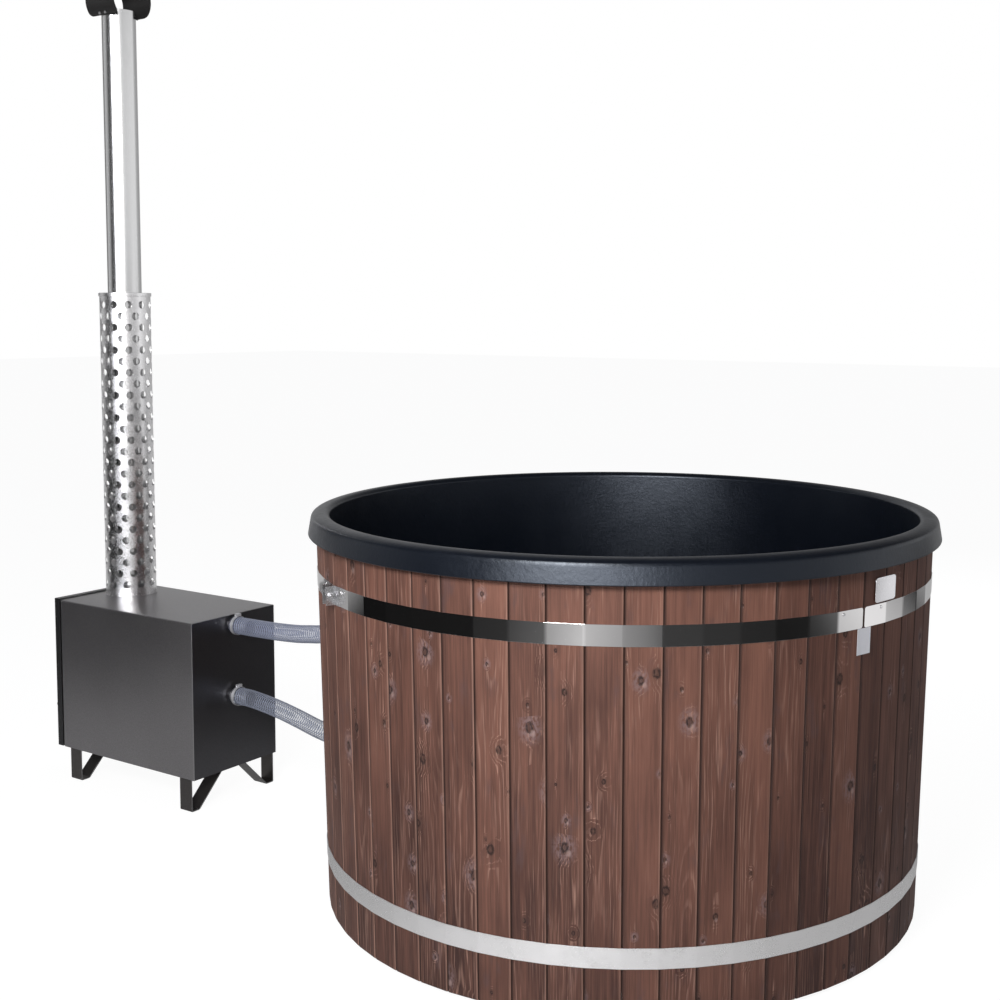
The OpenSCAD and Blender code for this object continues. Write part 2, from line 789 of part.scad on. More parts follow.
// A hollow hose with flat sides, swept along the route.
module hose(route) {
  n = len(route);
  m = hose_sides;
  flat = cos(180 / m);
  polyhedron(
    points = concat(
      [for (i = [0 : n - 1], p = ring_points(route, i, hose_out_r)) p],
      [for (i = [0 : n - 1], p = ring_points(route, i, hose_in_r / flat)) p]
    ),
    faces = concat(
      [for (i = [0 : n - 2], s = [0 : m - 1]) let (q = (s + 1) % m)
        [i * m + s, (i + 1) * m + s, (i + 1) * m + q, i * m + q]],
      [for (i = [0 : n - 2], s = [0 : m - 1]) let (q = (s + 1) % m, b = n * m)
        [b + i * m + q, b + (i + 1) * m + q, b + (i + 1) * m + s, b + i * m + s]],
      [for (s = [0 : m - 1]) let (q = (s + 1) % m) [s, q, n * m + q, n * m + s]],
      [for (s = [0 : m - 1]) let (q = (s + 1) % m, e = (n - 1) * m)
        [e + q, e + s, n * m + e + s, n * m + e + q]]
    )
  );
}

module upper_hose() color("lightsteelblue") hose(upper_route);
module lower_hose() color("lightsteelblue") hose(lower_route);

// Places its children where each hose is clamped, z along the hose: on the tails and on the stubs.
module each_clamp() {
  from_end = hose_stop + clamp_in;
  for (z = [upper_fitting_z, lower_fitting_z])
    on_stave(fitting_angle, z, tail_root + from_end) along_x() children();
  for (z = [upper_stub_z, lower_stub_z])
    at_heater() translate([0, 0, z]) along_x(-from_end - clamp_w) children();
}

clamp_r = hose_out_r + clamp_fit;
clamp_screw_r = 2.5;
clamp_screw_x = -clamp_r - 5.5;

module hose_clamps() color(steel_color) each_clamp() difference() {
  union() {
    cylinder(r = clamp_r + clamp_t, h = clamp_w);
    translate([clamp_screw_x - 3.5, -9, 0]) cube([10, 18, clamp_w]);
  }
  translate([0, 0, -1]) cylinder(r = clamp_r, h = clamp_w + 2);
  translate([clamp_screw_x, 0, clamp_w / 2]) rotate([90, 0, 0])
    cylinder(r = clamp_screw_r + 0.1, h = 30, center = true);
}

module clamp_screws() color(steel_color) each_clamp()
  translate([clamp_screw_x, -12, clamp_w / 2]) rotate([-90, 0, 0]) {
    cylinder(r = clamp_screw_r, h = 20, $fn = 24);
    cylinder(r = 4, h = 2.8, $fn = 6);
  }

// ---- Drain ----

module at_drain() rotate([0, 0, drain_angle]) translate([drain_r, 0, 0]) children();

module drain_flange() color(black_color) at_drain() difference() {
  union() {
    translate([0, 0, well_z + 0.2]) cylinder(r = flange_r, h = 4);
    translate([0, 0, bearer_h]) cylinder(r = thread_r, h = well_z + 1 - bearer_h);
  }
  translate([0, 0, bearer_h - 1]) cylinder(r = drain_pipe_r - drain_pipe_t, h = deck_z + 10);
}

// Down from the flange, round a quarter bend and out through the staves.
module drain_pipe() color(steel_color) at_drain() {
  bend_z = drain_pipe_z + drain_bend;
  translate([drain_bend, 0, bend_z]) rotate([-90, 0, 180]) rotate_extrude(angle = 90)
    translate([drain_bend, 0]) difference() {
      circle(r = drain_pipe_r);
      circle(r = drain_pipe_r - drain_pipe_t);
    }
  translate([drain_bend, 0, drain_pipe_z]) rotate([0, 90, 0])
    tube(drain_pipe_r, drain_pipe_t, valve_x - drain_r - drain_bend);
}

// The valve's own frame: x out along the pipe, from the valve's inner end.
module at_valve() rotate([0, 0, drain_angle]) translate([valve_x, 0, drain_pipe_z]) children();

module drain_valve_body() color("#b08d57") at_valve() difference() {
  union() {
    along_x() cylinder(r = valve_r, h = valve_len);
    along_x(valve_len - 1) cylinder(r = drain_pipe_r, h = spigot_len + 1);
    translate([valve_len / 2, 0, 0]) cylinder(r = stem_r + 4, h = lever_z - drain_pipe_z - 1);
  }
  along_x(-1) cylinder(r = drain_pipe_r - drain_pipe_t, h = valve_len + spigot_len + 2);
  translate([valve_len / 2, 0, 0]) sphere(r = ball_r + ball_fit);
  translate([valve_len / 2, 0, 0]) cylinder(r = stem_r + run_fit, h = lever_z);
}

// Shut at rest: the ball's bore lies across the pipe. A nut on the stem holds the lever.
module drain_valve_ball() color(steel_color) at_valve() translate([valve_len / 2, 0, 0]) difference() {
  lever_top = lever_z - drain_pipe_z + lever_t;
  union() {
    sphere(r = ball_r);
    cylinder(r = stem_r, h = lever_top + 5);
    translate([0, 0, lever_top + 0.1]) cylinder(r = 1.7 * stem_r, h = 4, $fn = 6);
  }
  rotate([90, 0, 0]) cylinder(r = drain_pipe_r - drain_pipe_t - 2, h = 3 * ball_r, center = true);
}

module drain_lever() color("#8c2f24") at_valve()
  translate([valve_len / 2, 0, lever_z - drain_pipe_z]) difference() {
    end_r = 8;
    union() {
      cylinder(r = stem_r + 4, h = lever_t);
      translate([-end_r, 0, 0]) cube([2 * end_r, lever_len - end_r, lever_t]);
      translate([0, lever_len - end_r, 0]) cylinder(r = end_r, h = lever_t);
    }
    translate([0, 0, -1]) cylinder(r = stem_r + 0.1, h = lever_t + 2);
  }

// ---- Heater casing ----

// The cover is one sheet bent over the top and both sides.
module casing_cover() color(black_color) at_heater() difference() {
  box([0, -case_w / 2, leg_h], [case_len, case_w / 2, case_top]);
  box([-1, sheet_t - case_w / 2, leg_h - 1], [case_len + 1, case_w / 2 - sheet_t, case_top - sheet_t]);
  translate([flue_x, flue_y, case_top - sheet_t - 1]) cylinder(r = collar_out + 1, h = sheet_t + 2);
  for (side = [-1, 1]) box(
    [case_len - far_leg_in + 2, side * case_w / 2 - 5, leg_h - 1],
    [case_len - far_leg_in + 6, side * case_w / 2 + 5, leg_h + 10]);
}

module casing_end_panel() color(black_color) at_heater() difference() {
  y = case_w / 2 - sheet_t - 0.2;
  box([0, -y, leg_h], [sheet_t, y, case_top - sheet_t - 0.2]);
  for (z = [upper_stub_z, lower_stub_z])
    translate([0, 0, z]) along_x(-1) cylinder(r = tail_r + thread_fit, h = sheet_t + 2);
}

module casing_floor_pan() color(black_color) at_heater() {
  y = case_w / 2 - sheet_t - 0.2;
  difference() {
    union() {
      box([sheet_t + 0.2, -y, leg_h], [frame_x - 0.2, y, leg_h + sheet_t]);
      for (side = [-1, 1]) box(
        [jacket_back + 10, side * (jacket_w / 2 - 20) - 10, leg_h + sheet_t],
        [frame_x - 40, side * (jacket_w / 2 - 20) + 10, jacket_z0]);
    }
    each_tab_bolt() translate([0, 0, leg_h - 5]) cylinder(r = tab_bolt_r + 0.2, h = sheet_t + 10, $fn = 32);
  }
}

module front_frame() color(black_color) at_heater() difference() {
  y = case_w / 2 - sheet_t - 0.2;
  box([frame_x, -y, leg_h + 0.2], [case_len, y, case_top - sheet_t - 0.2]);
  box([frame_x - 1, -fire_w / 2, fire_z], [case_len + 1, fire_w / 2, fire_z + fire_h]);
  box([frame_x - 1, latch_y - finger_w / 2 - 2, latch_z - finger_len - 2],
      [case_len + 1, latch_y + finger_w / 2 + 2, latch_z + finger_w / 2 + 2]);
}

// ---- Water jacket and firebox ----

// Double walls hold the water; the firebox opens at the front.
module water_jacket() color("#8f9296") at_heater() {
  x0 = jacket_back;
  x1 = x0 + jacket_len;
  y1 = jacket_w / 2;
  f = fire_w / 2;
  t = jacket_t;
  difference() {
    union() {
      box([x0, -y1, jacket_z0], [x1, y1, jacket_z1]);
      box([x1 - 1, -f - t, fire_z - t], [frame_x - 0.2, f + t, fire_z + fire_h + t]);
    }
    difference() {
      box([x0 + t, t - y1, jacket_z0 + t], [x1 - t, y1 - t, jacket_z1 - t]);
      box([fire_x - t, -f - t, fire_z - t], [x1, f + t, fire_z + fire_h + t]);
      translate([flue_x, flue_y, fire_z + fire_h]) cylinder(r = collar_out + collar_fit + t, h = case_h);
    }
    box([fire_x, -f, fire_z], [case_len, f, fire_z + fire_h]);
    translate([flue_x, flue_y, fire_z + fire_h - 1]) cylinder(r = collar_out + collar_fit, h = case_h);
    for (z = [upper_stub_z, lower_stub_z])
      translate([0, 0, z]) along_x(x0 - 1) cylinder(r = tail_r - tail_t, h = t + 2);
  }
  for (side = [-1, 1]) box(
    [fire_x + 20, side > 0 ? f - ledge : -f - eps, grate_z - ledge],
    [x1 - 20, side > 0 ? f + eps : ledge - f, grate_z]);
}

module stub_pipes() color(steel_color) at_heater() for (z = [upper_stub_z, lower_stub_z])
  translate([0, 0, z]) along_x(-stub_out) tube(tail_r, tail_t, stub_out + jacket_back);

module grate() color("#3a3a3c") at_heater() {
  x0 = fire_x + 10;
  x1 = case_len - jacket_front - 10;
  y = fire_w / 2 - fire_fit;
  rim = 20;
  pitch = (x1 - x0 - 1.5 * rim) / grate_slots;
  difference() {
    box([x0, -y, grate_z], [x1, y, grate_z + grate_t]);
    for (i = [0 : grate_slots - 1]) translate([x0 + rim + i * pitch, 0, 0])
      box([0, 1.5 * rim - y, grate_z - 1], [pitch / 2, y - 1.5 * rim, grate_z + grate_t + 1]);
  }
}

// A folded tray with a loop to pull it by; it lies loose under the grate.
module ash_pan() color("#55565a") at_heater() {
  x0 = fire_x + 20;
  x1 = case_len - jacket_front - 20;
  y = fire_w / 2 - ledge - 4;
  z = fire_z + 0.2;
  difference() {
    box([x0, -y, z], [x1, y, z + ash_h]);
    box([x0 + sheet_t, sheet_t - y, z + sheet_t], [x1 - sheet_t, y - sheet_t, z + ash_h + 1]);
  }
  difference() {
    box([x1 - eps, -30, z + 16], [x1 + 16, 30, z + 20]);
    box([x1, -24, z + 15], [x1 + 12, 24, z + 21]);
  }
}

// ---- Legs ----

function offset_corner(a, b, c, d) = let (
    u = unit(b - a), v = unit(c - b), nu = [-u[1], u[0]], nv = [-v[1], v[0]],
    m = nu + nv
  ) b + m * d / (1 + nu * nv);

// A strip of thickness t whose outer face follows the points.
module strip(points, t, w) {
  n = len(points);
  ends = concat([2 * points[0] - points[1]], points, [2 * points[n - 1] - points[n - 2]]);
  inner = [for (i = [n : -1 : 1]) offset_corner(ends[i - 1], ends[i], ends[i + 1], t)];
  linear_extrude(height = w) polygon(concat(points, inner));
}

leg_y = case_w / 2;
brace_y = leg_y - foot_len - brace_run;

// The strip bends from the upright to the foot, the brace and its tab; the upright has a tab of its own.
module leg_strip() {
  strip([[leg_y, leg_h], [leg_y, 0], [leg_y - foot_len, 0],
    [brace_y, leg_h - strip_t], [brace_y - tab_len, leg_h - strip_t]], -strip_t, strip_w);
  translate([leg_y - tab_len, leg_h - strip_t]) cube([tab_len - strip_t / 2, strip_t, strip_w]);
}

// The four legs' places: x of the strip's hose-end edge and side.
leg_xs = [near_leg_in, case_len - far_leg_in - strip_w];

module each_leg() for (x = leg_xs, side = [0, 1])
  translate([x, 0, 0]) mirror([0, side, 0]) children();

module each_tab_bolt() each_leg()
  for (y = [leg_y - tab_len + 8, brace_y - tab_len / 2])
    translate([strip_w / 2, y, 0]) children();

module heater_legs() color(black_color) at_heater() difference() {
  each_leg() rotate([90, 0, 90]) leg_strip();
  each_tab_bolt() translate([0, 0, leg_h - strip_t - 6])
    cylinder(r = tab_bolt_r + 0.2, h = strip_t + 12, $fn = 32);
}

module leg_bolts() color(steel_color) at_heater() each_tab_bolt() {
  head = 4;
  translate([0, 0, leg_h - strip_t - head - 0.1]) cylinder(r = 1.8 * tab_bolt_r, h = head, $fn = 6);
  translate([0, 0, leg_h - strip_t - 1]) cylinder(r = tab_bolt_r, h = strip_t + sheet_t + 6, $fn = 32);
  translate([0, 0, leg_h + sheet_t + 0.1]) cylinder(r = 1.8 * tab_bolt_r, h = head, $fn = 6);
}

// ---- Door ----

// An air hole through a sheet at x, its middle a number of pitches from the door's middle.
module air_hole(x, places) translate([x, places * air_pitch - air_hole_w / 2, door_z0 + air_z])
  cube([sheet_t + slide_t + 2, air_hole_w, air_hole_h]);

// Bores for the latch shaft through whatever lies between x and the door's face.
module latch_bore(x) translate([0, latch_y, latch_z])
  along_x(x) cylinder(r = latch_r + run_fit, h = door_face + 1 - x);

// A folded tray, open towards the firebox.
module door_panel() color(black_color) at_heater() difference() {
  y = case_w / 2;
  z1 = door_z0 + door_h;
  box([door_x, -y, door_z0], [door_face, y, z1]);
  box([door_x - 1, sheet_t - y, door_z0 + sheet_t], [door_face - sheet_t, y - sheet_t, z1 - sheet_t]);
  for (i = [0 : air_holes - 1])
    air_hole(door_face - sheet_t - 1, i - (air_holes - 1) / 2);
  latch_bore(door_x);
}

// The plate that shields the door's tray; air passes under it.
module door_liner() color("#6d6f73") at_heater() difference() {
  y = case_w / 2 - sheet_t - 0.3;
  z0 = door_z0 + sheet_t + 0.3;
  z1 = door_z0 + door_h - sheet_t - 0.3;
  box([liner_plate_x, -y, z0], [liner_plate_x + liner_plate_t, y, z1]);
  latch_bore(liner_plate_x - 1);
  box([liner_plate_x - 1, -fire_w / 2 + 30, fire_z + 4],
      [liner_plate_x + liner_plate_t + 1, fire_w / 2 - 30, fire_z + 4 + air_hole_h]);
}

module door_rope_seal() color("#d8d4c8") at_heater() difference() {
  y = fire_w / 2 + mouth_margin;
  x0 = case_len + seal_fit;
  x1 = liner_plate_x - 0.1;
  box([x0, -y - seal_w, fire_z - mouth_margin - seal_w],
      [x1, y + seal_w, fire_z + fire_h + mouth_margin + seal_w]);
  box([x0 - 1, -y, fire_z - mouth_margin], [x1 + 1, y, fire_z + fire_h + mouth_margin]);
}

// One knuckle on the hinge axis, from height z, with its bore.
module knuckle(z, h) translate([hinge_x, hinge_y, z]) difference() {
  cylinder(r = knuckle_r, h = h);
  translate([0, 0, -1]) cylinder(r = hinge_pin_r + run_fit, h = h + 2);
}

// The part of a leaf that leads from the knuckle to the plate it is welded to.
module leaf(x0, x1, z, h) difference() {
  box([x0, -case_w / 2 - leaf_t - leaf_gap, z], [x1, -case_w / 2 - leaf_gap, z + h]);
  translate([hinge_x, hinge_y, z - 1]) cylinder(r = hinge_pin_r + run_fit, h = h + 2);
}

module casing_hinge_knuckles() color(black_color) at_heater() for (z = hinge_zs) {
  knuckle(z - knuckle_len, knuckle_len - knuckle_gap / 2);
  leaf(case_len - leaf_len, hinge_x, z - knuckle_len, knuckle_len - knuckle_gap / 2);
}

module door_hinge_knuckles() color(black_color) at_heater() for (z = hinge_zs) {
  knuckle(z + knuckle_gap / 2, knuckle_len);
  leaf(hinge_x, door_face, z + knuckle_gap / 2, knuckle_len);
}

module hinge_pins() color(steel_color) at_heater() for (z = hinge_zs)
  translate([hinge_x, hinge_y, z - knuckle_len]) {
    cylinder(r = hinge_pin_r, h = 2 * knuckle_len + 2);
    translate([0, 0, 2 * knuckle_len + 1]) cylinder(r = knuckle_r - 1, h = 3);
  }

// The handle hangs straight down while the door is unlatched.
module latch_handle() color(black_color) at_heater() translate([0, latch_y, latch_z]) {
  grip_x = door_face + 5;
  grip_t = 5;
  knob_r = 10;
  along_x(finger_x - 2) cylinder(r = latch_r, h = grip_x + grip_t + 2 - finger_x);
  along_x(door_face + 0.5) cylinder(r = 2 * latch_r, h = grip_x + grip_t - door_face - 0.5);
  translate([grip_x, -6, -latch_len]) cube([grip_t, 12, latch_len]);
  translate([grip_x + knob_r / 2 + 2, 0, -latch_len]) sphere(r = knob_r);
}

module latch_finger() color(steel_color) at_heater() translate([finger_x, latch_y, latch_z]) difference() {
  box([0, -finger_w / 2, -finger_len], [finger_t, finger_w / 2, finger_w / 2]);
  along_x(-1) cylinder(r = latch_r + 0.1, h = finger_t + 2);
}

// Shut when it covers the door's air holes; it slides sideways by half their pitch.
module air_slide() color(steel_color) at_heater() {
  x = door_face + slide_fit;
  z = door_z0 + air_z + air_hole_h / 2;
  difference() {
    box([x, -slide_w / 2, z - slide_h / 2], [x + slide_t, slide_w / 2, z + slide_h / 2]);
    for (i = [0 : air_holes - 2])
      air_hole(x - 1, i - (air_holes - 2) / 2);
  }
  translate([0, slide_w / 2 - 8, z]) along_x(x + slide_t - eps) cylinder(r = 5, h = 14);
}

module air_slide_rails() color(black_color) at_heater() {
  z = door_z0 + air_z + air_hole_h / 2;
  len = slide_w + 2 * slide_travel;
  x0 = door_face;
  x1 = x0 + slide_t + 2 * slide_fit;
  for (side = [-1, 1]) {
    z0 = z + side * (slide_h / 2 + slide_fit);
    box([x0, -len / 2, side > 0 ? z0 : z0 - rail_w], [x1, len / 2, side > 0 ? z0 + rail_w : z0]);
    box([x1, -len / 2, side > 0 ? z0 - 4 : z0 - rail_w], [x1 + 2, len / 2, side > 0 ? z0 + rail_w : z0 + 4]);
  }
}

// ---- Chimney ----

module at_flue() at_heater() translate([flue_x, flue_y, 0]) children();

module flue_collar() color(steel_color) at_flue() translate([0, 0, fire_z + fire_h]) difference() {
  cylinder(r = collar_out, h = case_top + 40 - fire_z - fire_h);
  translate([0, 0, -1]) cylinder(r = collar_in, h = case_h);
}

module flue_pipe() color(steel_color) at_flue() translate([0, 0, fire_z + fire_h + 4]) difference() {
  cylinder(r = flue_r, h = flue_top_z - fire_z - fire_h - 4, $fn = 96);
  translate([0, 0, -1]) cylinder(r = flue_r - flue_t, h = flue_top_z, $fn = 96);
  translate([0, 0, cap_screw_z - fire_z - fire_h - 4]) cap_screw_holes();
}

// One row of holes in its own length of tube; every second row is turned by half a pitch.
module guard_row(turned) difference() {
  tube(guard_r, guard_t, guard_pitch);
  for (j = [0 : guard_row_holes - 1])
    translate([0, 0, guard_pitch / 2]) rotate([0, 0, (j + turned / 2) * 360 / guard_row_holes])
      along_x(guard_r - guard_hole_r) cylinder(r = guard_hole_r, h = 2 * guard_hole_r, $fn = 32);
}

module flue_guard() color(steel_color) at_flue() translate([0, 0, guard_z]) {
  tube(guard_r, guard_t, guard_plain);
  for (i = [0 : guard_rows - 1]) translate([0, 0, guard_plain + i * guard_pitch]) guard_row(i % 2);
  translate([0, 0, guard_len - guard_plain]) tube(guard_r, guard_t, guard_plain);
}

module guard_lower_ring() color(steel_color) at_flue() translate([0, 0, case_top]) difference() {
  union() {
    cylinder(r = guard_r + ring_out, h = guard_z - case_top);
    cylinder(r = guard_r + 0.2 + guard_t, h = guard_z - case_top + 8);
  }
  translate([0, 0, -1]) cylinder(r = guard_r - guard_t - 8, h = guard_z - case_top + 1);
  translate([0, 0, guard_z - case_top]) cylinder(r = guard_r + 0.2, h = 20);
  translate([0, 0, -1]) cylinder(r = collar_out + 1, h = 30);
}

module guard_upper_ring() color(steel_color) at_flue() translate([0, 0, guard_top]) difference() {
  translate([0, 0, -ring_lip]) cylinder(r = guard_r + ring_out, h = ring_lip + 2);
  translate([0, 0, -ring_lip - 1]) cylinder(r = guard_r + 0.2, h = ring_lip + 1);
  translate([0, 0, -1]) cylinder(r = flue_r + flue_fit, h = 5);
}

module cap_screw_holes() for (x = [-1, 1])
  translate([x * cap_screw_x, 0, 0]) rotate([90, 0, 0])
    cylinder(r = cap_screw_r + 0.1, h = 3 * cap_r, center = true, $fn = 24);

// A sheet bent over the pipe's end, open at both sides; its lower ends rest on the pipe.
module rain_cap() color(black_color) at_flue() difference() {
  translate([-cap_w / 2, 0, cap_z]) rotate([90, 0, 90]) rotate([0, 0, -cap_end])
    rotate_extrude(angle = 180 + 2 * cap_end, $fn = 96) translate([cap_r - cap_t, 0]) square([cap_t, cap_w]);
  translate([0, 0, cap_screw_z]) cap_screw_holes();
}

module rain_cap_screws() color(steel_color) at_flue() for (x = [-1, 1], side = [0, 180]) {
  drop = cap_z - cap_screw_z - 2 * cap_screw_r;
  seat = sqrt(cap_r * cap_r - drop * drop) + 0.1;
  pipe = sqrt(flue_r * flue_r - cap_screw_x * cap_screw_x);
  rotate([0, 0, side]) translate([x * cap_screw_x, seat, cap_screw_z]) rotate([0, 0, 90])
    screw_x(cap_screw_r, seat - pipe + 6, 2 * cap_screw_r, 2.4);
}

base_bearers();
floor_boards();
drain_board();
liner_shell();
staves_1();
staves_2();
staves_3();
staves_4();
staves_5();
staves_6();
hose_stave();
upper_band_front();
upper_band_back();
lower_band();
band_lugs();
band_bolts();
band_screws();
blank_plate();
blank_card();
upper_wall_fitting();
lower_wall_fitting();
wall_nuts();
wall_gaskets();
suction_strainer();
upper_hose();
lower_hose();
hose_clamps();
clamp_screws();
drain_flange();
drain_pipe();
drain_valve_body();
drain_valve_ball();
drain_lever();
casing_cover();
casing_end_panel();
casing_floor_pan();
front_frame();
water_jacket();
stub_pipes();
grate();
ash_pan();
heater_legs();
leg_bolts();
door_panel();
door_liner();
door_rope_seal();
casing_hinge_knuckles();
door_hinge_knuckles();
hinge_pins();
latch_handle();
latch_finger();
air_slide();
air_slide_rails();
flue_collar();
flue_pipe();
flue_guard();
guard_lower_ring();
guard_upper_ring();
rain_cap();
rain_cap_screws();
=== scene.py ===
"""Looks of a round wooden hot tub with an outside wood-fired heater.

Lengths are in metres in the row's frame: the tub stands at the origin, +Z is up and the heater stands
on the -X side. Every sub-assembly is a class that builds its own meshes and dresses them.
"""

from __future__ import annotations

import json
import logging
import math
from contextlib import contextmanager
from dataclasses import dataclass
from enum import Enum
from typing import Callable, Iterable, Iterator, Sequence

import bmesh
import bpy
import numpy as np
from mathutils import Matrix

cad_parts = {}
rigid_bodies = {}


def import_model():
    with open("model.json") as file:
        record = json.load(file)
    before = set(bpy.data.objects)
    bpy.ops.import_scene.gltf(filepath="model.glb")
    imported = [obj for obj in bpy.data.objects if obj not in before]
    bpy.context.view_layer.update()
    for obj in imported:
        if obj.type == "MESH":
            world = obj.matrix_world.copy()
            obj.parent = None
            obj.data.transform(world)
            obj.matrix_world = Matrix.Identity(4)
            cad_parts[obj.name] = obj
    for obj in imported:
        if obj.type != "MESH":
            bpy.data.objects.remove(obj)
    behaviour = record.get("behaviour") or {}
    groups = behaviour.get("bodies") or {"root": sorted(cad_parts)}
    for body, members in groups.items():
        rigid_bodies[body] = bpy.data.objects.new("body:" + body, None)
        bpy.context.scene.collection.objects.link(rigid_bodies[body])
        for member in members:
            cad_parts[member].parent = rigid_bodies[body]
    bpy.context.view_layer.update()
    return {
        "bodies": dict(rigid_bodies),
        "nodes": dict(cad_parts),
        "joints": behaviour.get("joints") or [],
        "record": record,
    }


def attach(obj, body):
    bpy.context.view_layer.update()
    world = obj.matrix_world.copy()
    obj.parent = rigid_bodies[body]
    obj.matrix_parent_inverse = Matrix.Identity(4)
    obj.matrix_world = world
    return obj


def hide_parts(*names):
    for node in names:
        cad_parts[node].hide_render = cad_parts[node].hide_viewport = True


LOG = logging.getLogger("hot_tub")
MM = 0.001
SAME_POINT = 2e-6
CREASE = math.radians(35)
Colour = tuple[float, float, float]
Array = np.ndarray
Route = tuple[tuple[float, float, float], ...]


# ---------------------------------------------------------------- shader maths


class Val:
    """A socket in a node tree, with operators that add Math nodes."""

    def __init__(self, graph: "Graph", socket: bpy.types.NodeSocket) -> None:
        """Wraps a socket.

        Args:
            graph: the node tree's helper.
            socket: an output socket that carries a number or a vector.
        """
        self.graph = graph
        self.socket = socket

    def _math(self, operation: str, *terms: "Val | float", clamp: bool = False) -> "Val":
        """Adds one Math node over the given terms and returns its result."""
        made = self.graph.node(
            "ShaderNodeMath",
            {"operation": operation, "use_clamp": clamp},
            {i: term for i, term in enumerate(terms)},
        )
        return Val(self.graph, made.outputs[0])

    def __add__(self, other: "Val | float") -> "Val":
        """Sum."""
        return self._math("ADD", self, other)

    def __radd__(self, other: float) -> "Val":
        """Sum with a number on the left."""
        return self._math("ADD", other, self)

    def __sub__(self, other: "Val | float") -> "Val":
        """Difference."""
        return self._math("SUBTRACT", self, other)

    def __mul__(self, other: "Val | float") -> "Val":
        """Product."""
        return self._math("MULTIPLY", self, other)

    def __rmul__(self, other: float) -> "Val":
        """Product with a number on the left."""
        return self._math("MULTIPLY", other, self)

    def __truediv__(self, other: "Val | float") -> "Val":
        """Quotient."""
        return self._math("DIVIDE", self, other)

    def sin(self) -> "Val":
        """Sine of this, in radians."""
        return self._math("SINE", self)

    def floor(self) -> "Val":
        """The whole number below this."""
        return self._math("FLOOR", self)

    def root(self) -> "Val":
        """Square root."""
        return self._math("SQRT", self)

    def higher(self, other: "Val | float") -> "Val":
        """The larger of the two."""
        return self._math("MAXIMUM", self, other)

    def clamped(self) -> "Val":
        """This, kept between 0 and 1."""
        return self._math("ADD", self, 0.0, clamp=True)

    def step(self, low: float, high: float) -> "Val":
        """A smooth step.

        Args:
            low: the value where the step is 0.
            high: the value where the step is 1; it may be the smaller one.

        Returns:
            0 at low, 1 at high and a smooth curve between them.
        """
        flip = high < low
        made = self.graph.node(
            "ShaderNodeMapRange",
            {"interpolation_type": "SMOOTHSTEP"},
            {0: self, 1: min(low, high), 2: max(low, high), 3: 1.0 if flip else 0.0, 4: 0.0 if flip else 1.0},
        )
        return Val(self.graph, made.outputs[0])


